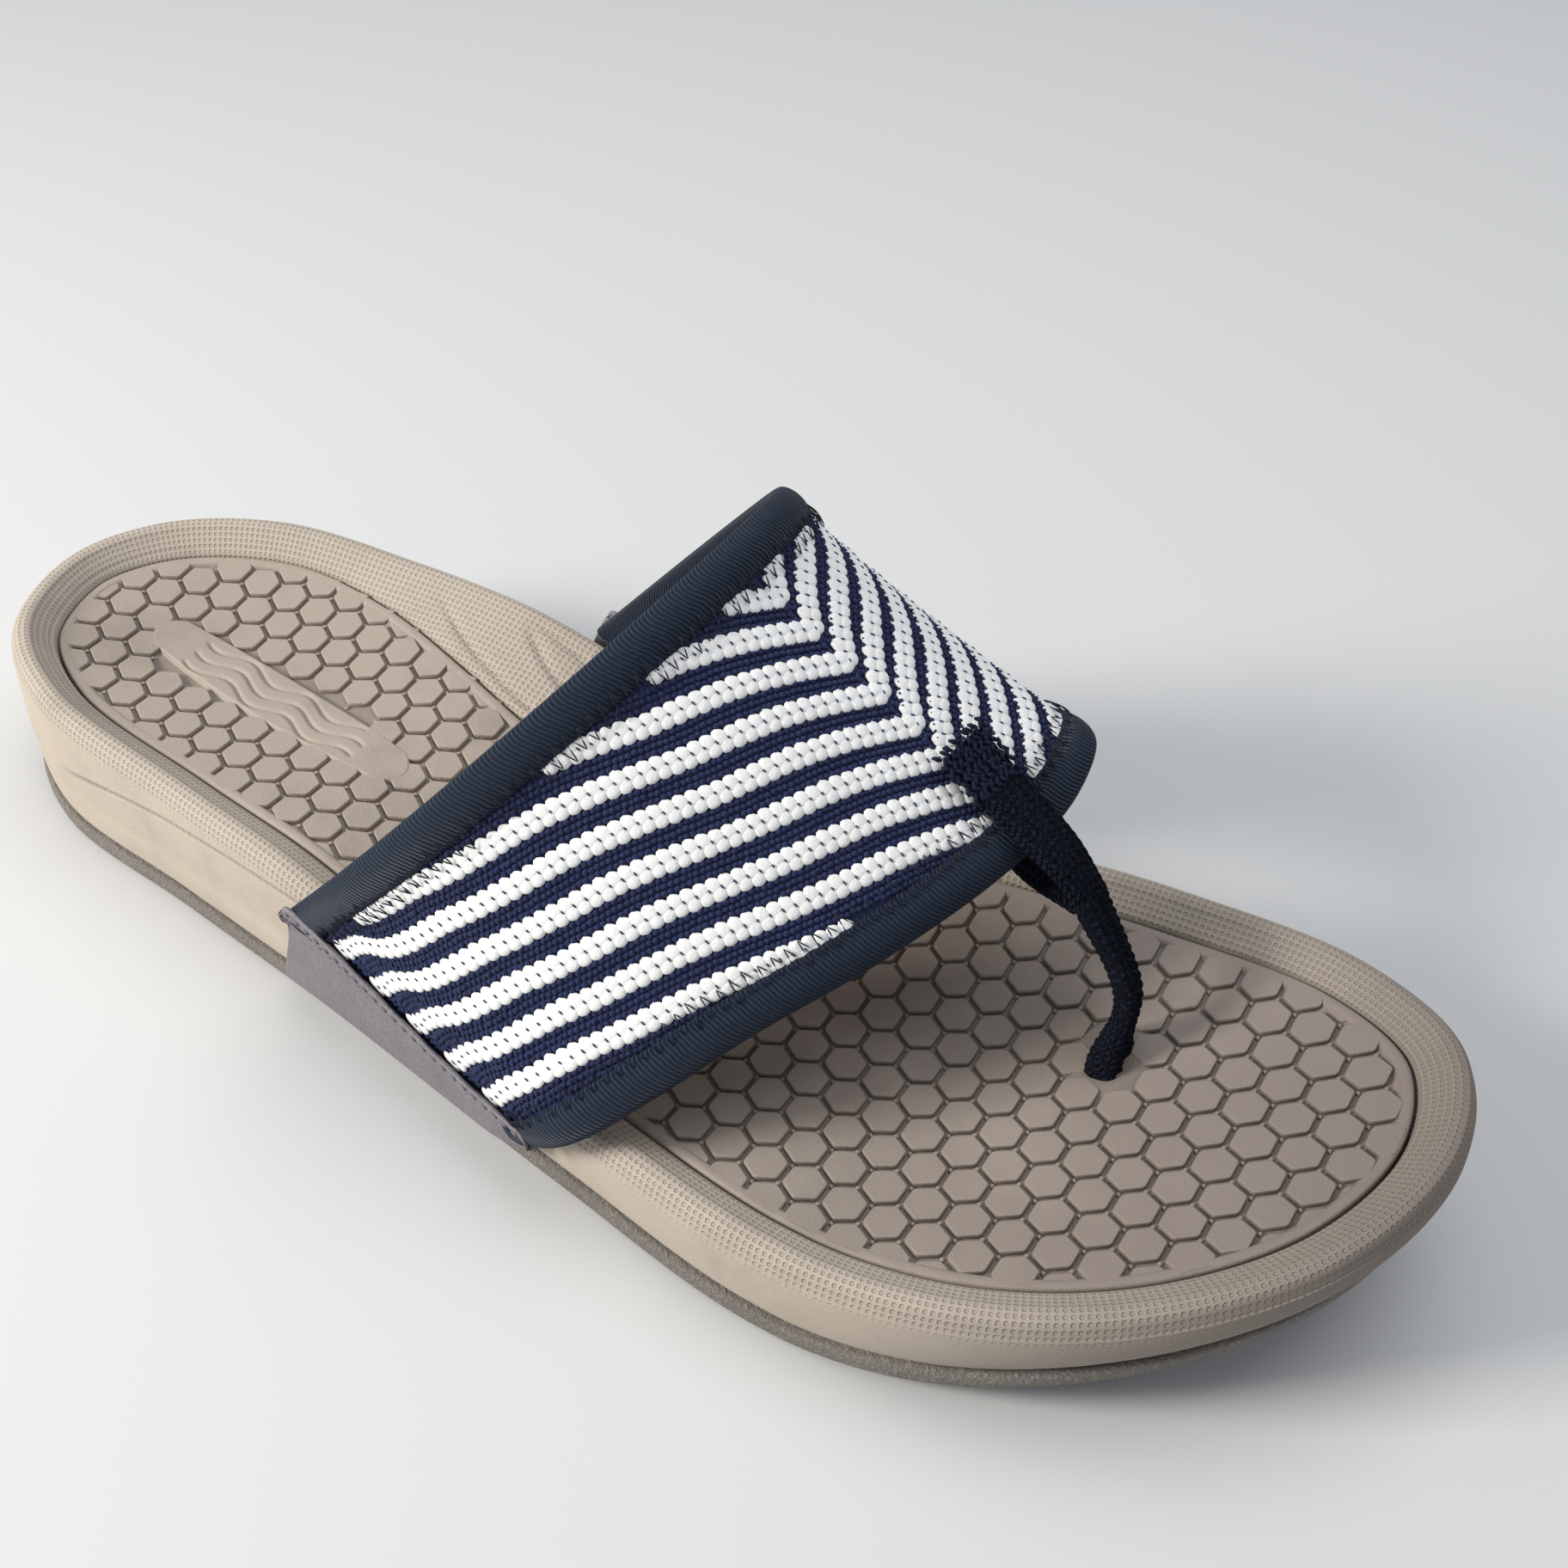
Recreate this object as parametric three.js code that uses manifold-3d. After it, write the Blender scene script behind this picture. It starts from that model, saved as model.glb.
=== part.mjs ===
// A toe-post wedge sandal for the right foot, in millimetres, +Z up, toe towards +X, big toe towards +Y.
// While it is modelled, X is measured forward from the back of the heel and Z up from the ground.
// At the end the whole sandal is moved so that the origin is under the middle of its box.
import * as THREE from "three";
import { mergeVertices } from "three/addons/utils/BufferGeometryUtils.js";
import Module from "manifold-3d";

const wasm = await Module();
wasm.setup();

// ---------------------------------------------------------------- driving sizes
const soleLength = 275;
const ballOut = 51.3;            // centre line to the outer edge at the ball of the foot
const ballIn = 45;               // centre line to the inner edge at the ball of the foot
const heelOut = 33.5;
const heelIn = 39;

const outsoleThickness = 3.6;
const toeSpring = 20.5;           // height of the outsole under the toe tip
const rockerLength = 78;         // stretch of sole that curls up to the toe tip
const heelBevel = 2.5;           // height of the outsole at the back of the heel
const heelBevelLength = 20;
const heelStack = 26;            // ground to footbed at the heel
const ballStack = 14.5;          // ground to footbed at the ball
const wedgeStart = 80;           // where the wedge begins to thin, from the heel
const wedgeEnd = 150;
const heelCupRise = 6;           // extra height of the footbed at the back of the heel
const heelCupLength = 70;
const cupInner = 0.0033;         // rise of the footbed towards the inner edge, per mm squared
const cupOuter = 0.0015;
const cupLine = -9;              // the lowest line along the footbed
const cupFade = 70;              // the toe end of the footbed, where the cupping dies out

const rimWidth = 8.2;            // from the footbed insert to the wall
const rimRise = 1.8;             // crest of the rim above the insert
const heelRimRise = 3;           // the same round the heel
const heelRimEnd = 110;
const shoulder = 3.2;            // rounding from the crest to the wall
const archWidth = 15;            // extra rim at the arch, on the inner side
const archStart = 34;
const archEnd = 200;
const wallTuck = 1.4;            // how far the foot of the wall stands in from its widest line
const toeTuck = 2.6;             // further tuck of the sole's edge under the toe

const insertThickness = 4;
const clearance = 0.3;
const layerGap = 0.5;            // between the knit panels and the lining
const foldGap = 0.45;            // between the binding's fold and what it holds

const liningThickness = 0.8;
const knitThickness = 1.6;
const tapeThickness = 0.6;
const tapeWidth = 9;             // how far the binding reaches in from the edge
const tabThickness = 2.2;
const tabFlange = 7;             // how far each tab runs in under the midsole
const tabFlangeThickness = 1.6;

const strapRear = { height: 54, lean: 0.84 };
const strapFront = { height: 32, lean: 1.16 };
// attachment of the strap along each side: distance back from the toe tip, and depth below the rim crest
const outerRear = { fromToe: 178, below: -0.5 };
const outerFront = { fromToe: 124, below: 4 };
const innerRear = { fromToe: 176, below: 0.5 };
const innerFront = { fromToe: 112, below: 1.5 };
const tabRake = 8;               // how far the foot of a tab's rear edge lies behind its top
const mitreRear = 14.5;           // where the two knit panels meet, left of the centre line
const mitreFront = 18.5;

const postFromToe = 54.5;
const postY = 10.6;
const postWidth = 8.5;
const postThickness = 4.4;
const tapeEndThickness = 1.8;
const bartackLength = 11;
const anchorRadius = 8;
const anchorThickness = 2;
const washerRadius = 6.5;
const washerThickness = 0.8;

const groovePitch = 15;          // tread grooves across the outsole
const grooveWidth = 3;
const grooveDepth = 1.4;

const stations = 52;             // steps along the sole
const acrossSteps = 10;          // steps across the sole

// ---------------------------------------------------------------- small helpers
const lerp = THREE.MathUtils.lerp;
const clamp01 = (t) => THREE.MathUtils.clamp(t, 0, 1);
const smooth = (t) => THREE.MathUtils.smoothstep(t, 0, 1);

function material(color, roughness) {
  return new THREE.MeshStandardMaterial({ color, roughness, metalness: 0 });
}

function geometryFrom(positions, triangles) {
  const geometry = new THREE.BufferGeometry();
  geometry.setAttribute("position", new THREE.Float32BufferAttribute(positions, 3));
  geometry.setIndex(triangles);
  return closed(geometry);
}

// Merges shared vertices, drops empty triangles and turns the faces outwards.
function closed(geometry) {
  geometry.deleteAttribute("normal");
  geometry.deleteAttribute("uv");
  const merged = mergeVertices(geometry, 1e-4);
  const p = merged.attributes.position;
  const index = merged.index.array;
  const a = new THREE.Vector3();
  const b = new THREE.Vector3();
  const c = new THREE.Vector3();
  const kept = [];
  let volume = 0;
  for (let i = 0; i < index.length; i += 3) {
    const [ia, ib, ic] = [index[i], index[i + 1], index[i + 2]];
    if (ia === ib || ib === ic || ic === ia) continue;
    kept.push(ia, ib, ic);
    a.fromBufferAttribute(p, ia);
    b.fromBufferAttribute(p, ib);
    c.fromBufferAttribute(p, ic);
    volume += a.dot(b.cross(c));
  }
  if (volume < 0) {
    for (let i = 0; i < kept.length; i += 3) [kept[i], kept[i + 1]] = [kept[i + 1], kept[i]];
  }
  merged.setIndex(kept);
  return merged;
}

function solid(geometry) {
  const ready = closed(geometry);
  return new wasm.Manifold(new wasm.Mesh({
    numProp: 3,
    vertProperties: new Float32Array(ready.attributes.position.array),
    triVerts: new Uint32Array(ready.index.array),
  }));
}

function geometryOf(body) {
  const mesh = body.getMesh();
  return geometryFrom(Array.from(mesh.vertProperties), Array.from(mesh.triVerts));
}

function boxAt(sizeX, sizeY, sizeZ, x, y, z) {
  return new THREE.BoxGeometry(sizeX, sizeY, sizeZ).translate(x, y, z);
}

// ---------------------------------------------------------------- plan of the sole
const outlineCurve = new THREE.CatmullRomCurve3([
  [0, 3], [6, -0.52 * heelOut], [24, -0.86 * heelOut], [60, -heelOut],
  [101, -lerp(heelOut, ballOut, 0.28)], [soleLength - 122, -lerp(heelOut, ballOut, 0.73)],
  [soleLength - 83, -ballOut], [soleLength - 51, -0.92 * ballOut],
  [soleLength - 25, -0.67 * ballOut], [soleLength - 7, -0.3 * ballOut],
  [soleLength, 8], [soleLength - 6, 0.64 * ballIn], [soleLength - 25, 0.92 * ballIn],
  [soleLength - 58, ballIn], [soleLength - 108, lerp(heelIn, ballIn, 0.62)],
  [105, lerp(heelIn, ballIn, 0.2)], [60, heelIn], [28, 0.86 * heelIn], [8, 0.52 * heelIn],
].map(([x, y]) => new THREE.Vector3(x, y, 0)), true, "centripetal");
const outline = outlineCurve.getPoints(360).slice(0, -1);

// The outline moved inwards by a distance that may change along it.
function inset(distance) {
  const count = outline.length;
  return outline.map((point, i) => {
    const before = outline[(i + count - 1) % count];
    const after = outline[(i + 1) % count];
    const along = after.clone().sub(before).normalize();
    const inward = new THREE.Vector3(-along.y, along.x, 0);
    return point.clone().addScaledVector(inward, distance(point));
  });
}

// Splits a closed plan curve at its two ends into an outer and an inner side, each with rising x.
function sides(points) {
  let back = 0;
  let tip = 0;
  points.forEach((point, i) => {
    if (point.x < points[back].x) back = i;
    if (point.x > points[tip].x) tip = i;
  });
  const walk = (from, to, step) => {
    const run = [points[from]];
    for (let i = from; i !== to; ) {
      i = (i + step + points.length) % points.length;
      if (points[i].x > run[run.length - 1].x + 1e-6 || i === to) run.push(points[i]);
    }
    return run;
  };
  return { outer: walk(back, tip, 1), inner: walk(back, tip, -1) };
}

function sideY(run, x) {
  if (x <= run[0].x) return run[0].y;
  for (let i = 1; i < run.length; i++) {
    if (x <= run[i].x) {
      return lerp(run[i - 1].y, run[i].y, (x - run[i - 1].x) / (run[i].x - run[i - 1].x));
    }
  }
  return run[run.length - 1].y;
}

function ringOf(points) {
  const { outer, inner } = sides(points);
  const start = outer[0].x;
  const end = outer[outer.length - 1].x;
  const ring = [];
  for (let i = 0; i <= stations; i++) {
    const x = lerp(start, end, (1 - Math.cos((Math.PI * i) / stations)) / 2);
    ring.push({ x, outer: sideY(outer, x), inner: sideY(inner, x) });
  }
  return ring;
}

const wall = sides(outline);
const outerWall = (x) => sideY(wall.outer, x);
const innerWall = (x) => sideY(wall.inner, x);

// ---------------------------------------------------------------- heights
function groundZ(x) {
  const curl = clamp01((x - (soleLength - rockerLength)) / rockerLength);
  const bevel = clamp01((heelBevelLength - x) / heelBevelLength);
  return toeSpring * curl ** 1.5 + heelBevel * bevel ** 2;
}

function footbedZ(x, y) {
  const wedge = smooth((x - wedgeStart) / (wedgeEnd - wedgeStart));
  const cupEnd = heelCupRise * clamp01(1 - x / heelCupLength) ** 2;
  const fade = 1 - 0.6 * smooth((x - (soleLength - cupFade)) / cupFade);
  const side = y - cupLine;
  const cup = (side > 0 ? cupInner : cupOuter) * side * side * fade;
  return groundZ(x) - heelBevel * clamp01(1 - x / heelBevelLength) ** 2
    + lerp(heelStack, ballStack, wedge) + cupEnd + cup;
}

const rimZ = (x, y) => footbedZ(x, y) + lerp(heelRimRise, rimRise, smooth(x / heelRimEnd));
const midsoleFoot = (x) => groundZ(x) + outsoleThickness + clearance;

// Rim margin: even all round, and wider at the arch on the inner side.
function insertMargin(point) {
  const along = clamp01((point.x - archStart) / (archEnd - archStart));
  const arch = Math.sin(Math.PI * along) ** 2;
  return rimWidth + (point.y > 0 ? archWidth * arch : 0);
}

// ---------------------------------------------------------------- closed shells around the plan
// layers: from the bottom ring to the top ring, each { ring, z(x, y) }
function shell(layers) {
  const positions = [];
  const triangles = [];
  const put = (x, y, z) => positions.push(x, y, z) / 3 - 1;
  const quad = (a, b, c, d) => triangles.push(a, b, c, a, c, d);
  const rim = layers.map(({ ring, z }) => ring.map((s) => ({
    outer: put(s.x, s.outer, z(s.x, s.outer)),
    inner: put(s.x, s.inner, z(s.x, s.inner)),
  })));
  for (let k = 1; k < layers.length; k++) {
    for (let i = 1; i <= stations; i++) {
      const [low, high] = [rim[k - 1], rim[k]];
      quad(low[i - 1].outer, low[i].outer, high[i].outer, high[i - 1].outer);
      quad(low[i].inner, low[i - 1].inner, high[i - 1].inner, high[i].inner);
    }
  }
  const cap = (k, flip) => {
    const { ring, z } = layers[k];
    const rows = ring.map((s, i) => {
      const row = [rim[k][i].outer];
      for (let j = 1; j < acrossSteps; j++) {
        const y = lerp(s.outer, s.inner, j / acrossSteps);
        row.push(i === 0 || i === stations ? rim[k][i].outer : put(s.x, y, z(s.x, y)));
      }
      row.push(rim[k][i].inner);
      return row;
    });
    for (let i = 1; i <= stations; i++) {
      for (let j = 1; j <= acrossSteps; j++) {
        const [a, b, c, d] = [rows[i - 1][j - 1], rows[i][j - 1], rows[i][j], rows[i - 1][j]];
        if (flip) quad(d, c, b, a);
        else quad(a, b, c, d);
      }
    }
  };
  cap(0, true);
  cap(layers.length - 1, false);
  return geometryFrom(positions, triangles);
}

const even = (distance) => ringOf(inset(() => distance));
const tucked = (distance, share) => ringOf(inset(
  (point) => distance + share * toeTuck * smooth((point.x - (soleLength - rockerLength)) / rockerLength),
));
const insertRing = (extra) => ringOf(inset((point) => insertMargin(point) + extra));

// ---------------------------------------------------------------- toe post route
const postX = soleLength - postFromToe;

// ---------------------------------------------------------------- outsole
function makeOutsole() {
  const top = (x) => groundZ(x) + outsoleThickness;
  const lip = 0.8;
  let body = solid(shell([
    { ring: tucked(lip, 1.2), z: (x) => groundZ(x) },
    { ring: tucked(0, 1.1), z: (x) => groundZ(x) + lip },
    { ring: tucked(0, 1), z: (x) => top(x) - lip },
    { ring: tucked(lip, 1), z: top },
  ]));
  const first = heelBevelLength + groovePitch / 2;
  const last = soleLength - rockerLength;
  for (let x = first; x < last; x += groovePitch) {
    const span = innerWall(x) - outerWall(x) - 2 * rimWidth;
    const middle = (innerWall(x) + outerWall(x)) / 2;
    body = body.subtract(solid(boxAt(grooveWidth, span, 2 * grooveDepth, x, middle, 0)));
  }
  return geometryOf(body);
}

// ---------------------------------------------------------------- tabs at the sides
// side is -1 on the outer side and 1 on the inner side
function tabShape(side) {
  const rear = side < 0 ? outerRear : innerRear;
  const front = side < 0 ? outerFront : innerFront;
  const wallAt = side < 0 ? outerWall : innerWall;
  const rearX = soleLength - rear.fromToe;
  const frontX = soleLength - front.fromToe;
  const topZ = (x) => {
    const below = lerp(rear.below, front.below, clamp01((x - rearX) / (frontX - rearX)));
    return rimZ(x, wallAt(x)) - shoulder / 2 - below;
  };
  return { side, rearX, frontX, wallAt, topZ };
}

// A closed slab between two offset copies of a surface point(p, q) with outward direction out(p, q).
function slab(point, out, inner, outer, stepsP, stepsQ) {
  const positions = [];
  const triangles = [];
  const quad = (a, b, c, d) => triangles.push(a, b, c, a, c, d);
  const sheets = [inner, outer].map((offset) => {
    const rows = [];
    for (let i = 0; i <= stepsP; i++) {
      const row = [];
      for (let j = 0; j <= stepsQ; j++) {
        const [p, q] = [i / stepsP, j / stepsQ];
        const at = point(p, q).clone().addScaledVector(out(p, q), offset);
        row.push(positions.push(at.x, at.y, at.z) / 3 - 1);
      }
      rows.push(row);
    }
    return rows;
  });
  const [low, high] = sheets;
  for (let i = 1; i <= stepsP; i++) {
    for (let j = 1; j <= stepsQ; j++) {
      quad(high[i - 1][j - 1], high[i][j - 1], high[i][j], high[i - 1][j]);
      quad(low[i - 1][j], low[i][j], low[i][j - 1], low[i - 1][j - 1]);
    }
  }
  for (let i = 1; i <= stepsP; i++) {
    quad(low[i - 1][0], low[i][0], high[i][0], high[i - 1][0]);
    quad(low[i][stepsQ], low[i - 1][stepsQ], high[i - 1][stepsQ], high[i][stepsQ]);
  }
  for (let j = 1; j <= stepsQ; j++) {
    quad(low[0][j], low[0][j - 1], high[0][j - 1], high[0][j]);
    quad(low[stepsP][j - 1], low[stepsP][j], high[stepsP][j], high[stepsP][j - 1]);
  }
  return geometryFrom(positions, triangles);
}

// The plate that lies on the wall, and the flange that runs in under the midsole.
// grow widens both for the notch that is cut for them.
function tabSolid(side, grow) {
  const { rearX, frontX, wallAt, topZ } = tabShape(side);
  const foot = (x) => groundZ(x) + outsoleThickness + clearance - grow;
  const plate = slab(
    (p, q) => {
      const x = lerp(lerp(rearX - tabRake, frontX - 2, p), lerp(rearX, frontX, p), q);
      const tip = 4 * clamp01((p - 0.8) / 0.2) ** 2 * (1 - q);
      return new THREE.Vector3(x, wallAt(x), lerp(foot(x) + tip, topZ(x), q));
    },
    () => new THREE.Vector3(0, side, 0),
    clearance, clearance + tabThickness, 16, 5,
  );
  const flange = slab(
    (p, q) => {
      const x = lerp(rearX - tabRake + 2 - grow, frontX - 16 + grow, p);
      const reach = lerp(clearance + tabThickness / 2, -tabFlange - grow, q);
      return new THREE.Vector3(x, wallAt(x) + side * reach, foot(x));
    },
    () => new THREE.Vector3(0, 0, 1),
    0, tabFlangeThickness + 2 * grow, 14, 2,
  );
  return { plate: solid(plate), flange: solid(flange) };
}

function makeTab(side) {
  const { plate, flange } = tabSolid(side, 0);
  return geometryOf(plate.add(flange));
}

// ---------------------------------------------------------------- midsole and insert
const pocketZ = (x, y) => footbedZ(x, y) - insertThickness - clearance;

function slotAt(lengthX, lengthY, fromZ, toZ) {
  return solid(boxAt(lengthX, lengthY, toZ - fromZ, postX, postY, (fromZ + toZ) / 2));
}

function discAt(radius, fromZ, toZ) {
  const disc = new THREE.CylinderGeometry(radius, radius, toZ - fromZ, 32);
  return disc.rotateX(Math.PI / 2).translate(postX, postY, (fromZ + toZ) / 2);
}

const anchorFoot = groundZ(postX) + outsoleThickness + 2.2;
const anchorTop = anchorFoot + anchorThickness;
const washerTop = anchorTop + clearance + washerThickness;

function makeMidsole() {
  const foot = (x) => midsoleFoot(x);
  const widest = (x, y) => lerp(foot(x), rimZ(x, y), 0.45);
  let body = solid(shell([
    { ring: tucked(wallTuck, 1), z: foot },
    { ring: tucked(wallTuck * 0.4, 0.8), z: (x) => foot(x) + 1.2 },
    { ring: even(0), z: widest },
    { ring: even(0.2), z: (x, y) => rimZ(x, y) - shoulder },
    { ring: even(0.3 * shoulder), z: (x, y) => rimZ(x, y) - 0.3 * shoulder },
    { ring: even(shoulder), z: rimZ },
    { ring: insertRing(-clearance), z: (x, y) => footbedZ(x, y) + clearance },
  ]));
  body = body.subtract(solid(shell([
    { ring: insertRing(-clearance / 2), z: pocketZ },
    { ring: insertRing(-clearance / 2), z: (x, y) => footbedZ(x, y) + 3 },
  ])));
  for (const side of [-1, 1]) {
    body = body.subtract(tabSolid(side, clearance).flange);
  }
  const below = groundZ(postX);
  const through = slotAt(postThickness + 2 * clearance, postWidth + 2 * clearance, below, below + 40);
  const seat = solid(discAt(anchorRadius + clearance, below, washerTop + clearance));
  return geometryOf(body.subtract(through).subtract(seat));
}

function makeInsert() {
  const ring = insertRing(clearance);
  const body = solid(shell([
    { ring, z: (x, y) => footbedZ(x, y) - insertThickness },
    { ring, z: footbedZ },
  ]));
  const top = footbedZ(postX, postY);
  return geometryOf(body.subtract(
    slotAt(postThickness + 2 * clearance, postWidth + 2 * clearance, top - 12, top + 6),
  ));
}

// ---------------------------------------------------------------- strap surface
// Shape of each arch: share of the way across, share of the height, and pull towards the toe post.
const rearArch = [
  [-0.01, 0.36, 0], [0.07, 0.61, 0], [0.27, 0.84, 0], [0.6, 0.99, 0],
  [0.84, 0.98, 0], [0.97, 0.84, 0], [1.03, 0.4, 0],
];
const frontArch = [
  [-0.005, 0.24, 0], [0.09, 0.43, 0], [0.22, 0.62, 0], [0.42, 0.78, 3.5],
  [0.66, 0.88, 6], [0.82, 0.96, 4], [0.94, 0.97, 0], [1.01, 0.66, 0],
];

// heights of the layers above the middle surface of the strap
const knitLow = layerGap / 2;
const knitHigh = knitLow + knitThickness;
const liningHigh = -layerGap / 2;
const liningLow = liningHigh - liningThickness;
const bindingHigh = knitHigh + foldGap + tapeThickness;
const bindingLow = liningLow - foldGap - tapeThickness;
const standOff = clearance - bindingLow;

function sideBase(side, q) {
  const { rearX, frontX, wallAt, topZ } = tabShape(side);
  const x = lerp(rearX, frontX, q);
  return new THREE.Vector3(x, wallAt(x) + side * standOff, topZ(x) + 2 * clearance);
}

function archCurve(outerBase, innerBase, shape, arch) {
  const points = shape.map(([across, rise, pull]) => {
    const point = outerBase.clone().lerp(innerBase, across);
    point.x += arch.lean * arch.height * rise + pull;
    point.z += arch.height * rise;
    return point;
  });
  return new THREE.CatmullRomCurve3([outerBase, ...points, innerBase], false, "centripetal");
}

const strapSteps = 64;
const rearCurve = archCurve(sideBase(-1, 0), sideBase(1, 0), rearArch, strapRear);
const frontCurve = archCurve(sideBase(-1, 1), sideBase(1, 1), frontArch, strapFront);
const rearPoints = rearCurve.getSpacedPoints(strapSteps);
const frontPoints = frontCurve.getSpacedPoints(strapSteps);

function between(points, u) {
  const at = clamp01(u) * strapSteps;
  const i = Math.min(Math.floor(at), strapSteps - 1);
  return points[i].clone().lerp(points[i + 1], at - i);
}

// u runs from the outer to the inner side, v from the rear edge to the front edge
function strapPoint(u, v) {
  const flat = between(rearPoints, u).lerp(between(frontPoints, u), v);
  const hug = 6;
  for (const [side, near] of [[-1, 1 - u * hug], [1, 1 - (1 - u) * hug]]) {
    if (near <= 0) continue;
    const chord = sideBase(side, 0).lerp(sideBase(side, 1), v);
    flat.addScaledVector(sideBase(side, v).sub(chord), smooth(near));
  }
  return flat;
}

function strapNormal(u, v) {
  const step = 0.01;
  const across = strapPoint(Math.min(u + step, 1), v).sub(strapPoint(Math.max(u - step, 0), v));
  const along = strapPoint(u, 1).sub(strapPoint(u, 0));
  return along.cross(across).normalize();
}

function mitreShare(points, y) {
  const i = points.findIndex((point, k) => k > strapSteps * 0.3 && point.y > y);
  return (i - 1 + (y - points[i - 1].y) / (points[i].y - points[i - 1].y)) / strapSteps;
}

const mitreAtRear = mitreShare(rearPoints, mitreRear);
const mitreAtFront = mitreShare(frontPoints, mitreFront);
const mitre = (v) => lerp(mitreAtRear, mitreAtFront, v);
const strapWidth = (u) => strapPoint(u, 0).distanceTo(strapPoint(u, 1));
const edgeGap = clearance;       // the panels and the lining stop this far inside the binding's fold


function inBinding(u, q) {
  const margin = edgeGap / strapWidth(u);
  return lerp(margin, 1 - margin, q);
}

function makePanel(side) {
  const seam = clearance / 2 / rearCurve.getLength();
  const uAt = (p, v) => (side < 0
    ? lerp(0, mitre(v) - seam * 1.4, p)
    : lerp(mitre(v) + seam * 1.4, 1, p));
  const steps = side < 0 ? 34 : 26;
  return slab(
    (p, q) => strapPoint(uAt(p, q), inBinding(uAt(p, q), q)),
    (p, q) => strapNormal(uAt(p, q), inBinding(uAt(p, q), q)),
    knitLow, knitHigh, steps, 8,
  );
}

function makeLining() {
  return slab(
    (p, q) => strapPoint(p, inBinding(p, q)),
    (p, q) => strapNormal(p, inBinding(p, q)),
    liningLow, liningHigh, 48, 8,
  );
}

// A folded tape: a U-shaped section carried along one edge of the strap.
function makeBinding(edge) {
  const top = bindingHigh - tapeThickness;
  const bottom = bindingLow + tapeThickness;
  const section = [
    [-clearance - tapeThickness, bindingLow], [tapeWidth, bindingLow], [tapeWidth, bottom],
    [-clearance, bottom], [-clearance, top], [tapeWidth, top],
    [tapeWidth, bindingHigh], [-clearance - tapeThickness, bindingHigh],
  ];
  const steps = 64;
  const positions = [];
  const triangles = [];
  for (let k = 0; k <= steps; k++) {
    const u = k / steps;
    const width = strapWidth(u);
    for (const [inwards, height] of section) {
      const v = edge === 0 ? inwards / width : 1 - inwards / width;
      const at = strapPoint(u, v).addScaledVector(strapNormal(u, v), height);
      positions.push(at.x, at.y, at.z);
    }
  }
  const count = section.length;
  for (let k = 0; k < steps; k++) {
    for (let j = 0; j < count; j++) {
      const [a, b] = [k * count + j, k * count + ((j + 1) % count)];
      triangles.push(a, b, b + count, a, b + count, a + count);
    }
  }
  const flat = section.map(([x, y]) => new THREE.Vector2(x, y));
  for (const [a, b, c] of THREE.ShapeUtils.triangulateShape(flat, [])) {
    const end = steps * count;
    triangles.push(c, b, a, a + end, b + end, c + end);
  }
  return geometryFrom(positions, triangles);
}

// ---------------------------------------------------------------- toe post
// A flat tape swept along points, its width lying along a given direction.
function tape(points, sideways, width, thickness, steps) {
  const curve = new THREE.CatmullRomCurve3(points, false, "centripetal");
  const route = curve.getSpacedPoints(steps);
  const positions = [];
  const triangles = [];
  route.forEach((point, k) => {
    const before = route[Math.max(k - 1, 0)];
    const after = route[Math.min(k + 1, steps)];
    const along = after.clone().sub(before).normalize();
    const across = sideways.clone().addScaledVector(along, -along.dot(sideways)).normalize();
    const out = along.clone().cross(across);
    for (const [w, t] of [[-1, -1], [1, -1], [1, 1], [-1, 1]]) {
      const at = point.clone().addScaledVector(across, w * width / 2).addScaledVector(out, t * thickness / 2);
      positions.push(at.x, at.y, at.z);
    }
  });
  for (let k = 0; k < steps; k++) {
    for (let j = 0; j < 4; j++) {
      const [a, b] = [4 * k + j, 4 * k + ((j + 1) % 4)];
      triangles.push(a, b, b + 4, a, b + 4, a + 4);
    }
  }
  const end = 4 * steps;
  triangles.push(0, 2, 1, 0, 3, 2, end, end + 1, end + 2, end, end + 2, end + 3);
  return geometryFrom(positions, triangles);
}

const tackShare = mitreAtFront;
const edgePoint = strapPoint(tackShare, 1);
const strapUp = strapNormal(tackShare, 1);
const strapBack = strapPoint(tackShare, 0).sub(edgePoint).normalize();
const strapAcross = strapUp.clone().cross(strapBack).normalize();

// a point at a distance in from the front edge, and a height off the middle of the strap
function overStrap(inwards, height) {
  return edgePoint.clone().addScaledVector(strapBack, inwards).addScaledVector(strapUp, height);
}

// The strap is curved and the tapes are flat across, so they ride a little further off it.
const crown = 0.5;
const upperRide = bindingHigh + crown + tapeEndThickness / 2;
const lowerRide = bindingLow - crown - tapeEndThickness / 2;
const joinPoint = overStrap(-12, 2);
const postTopOfFootbed = footbedZ(postX, postY);
const postMiddle = new THREE.Vector3(
  postX,
  lerp(postY, joinPoint.y, 0.4),
  lerp(postTopOfFootbed, joinPoint.z, 0.5),
);

const postRoute = [
  new THREE.Vector3(postX, postY, washerTop + clearance),
  new THREE.Vector3(postX, postY, postTopOfFootbed + 2),
  postMiddle,
  joinPoint,
];

function makePost() {
  return tape(postRoute, new THREE.Vector3(0, 1, 0), postWidth, postThickness, 18);
}

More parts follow.
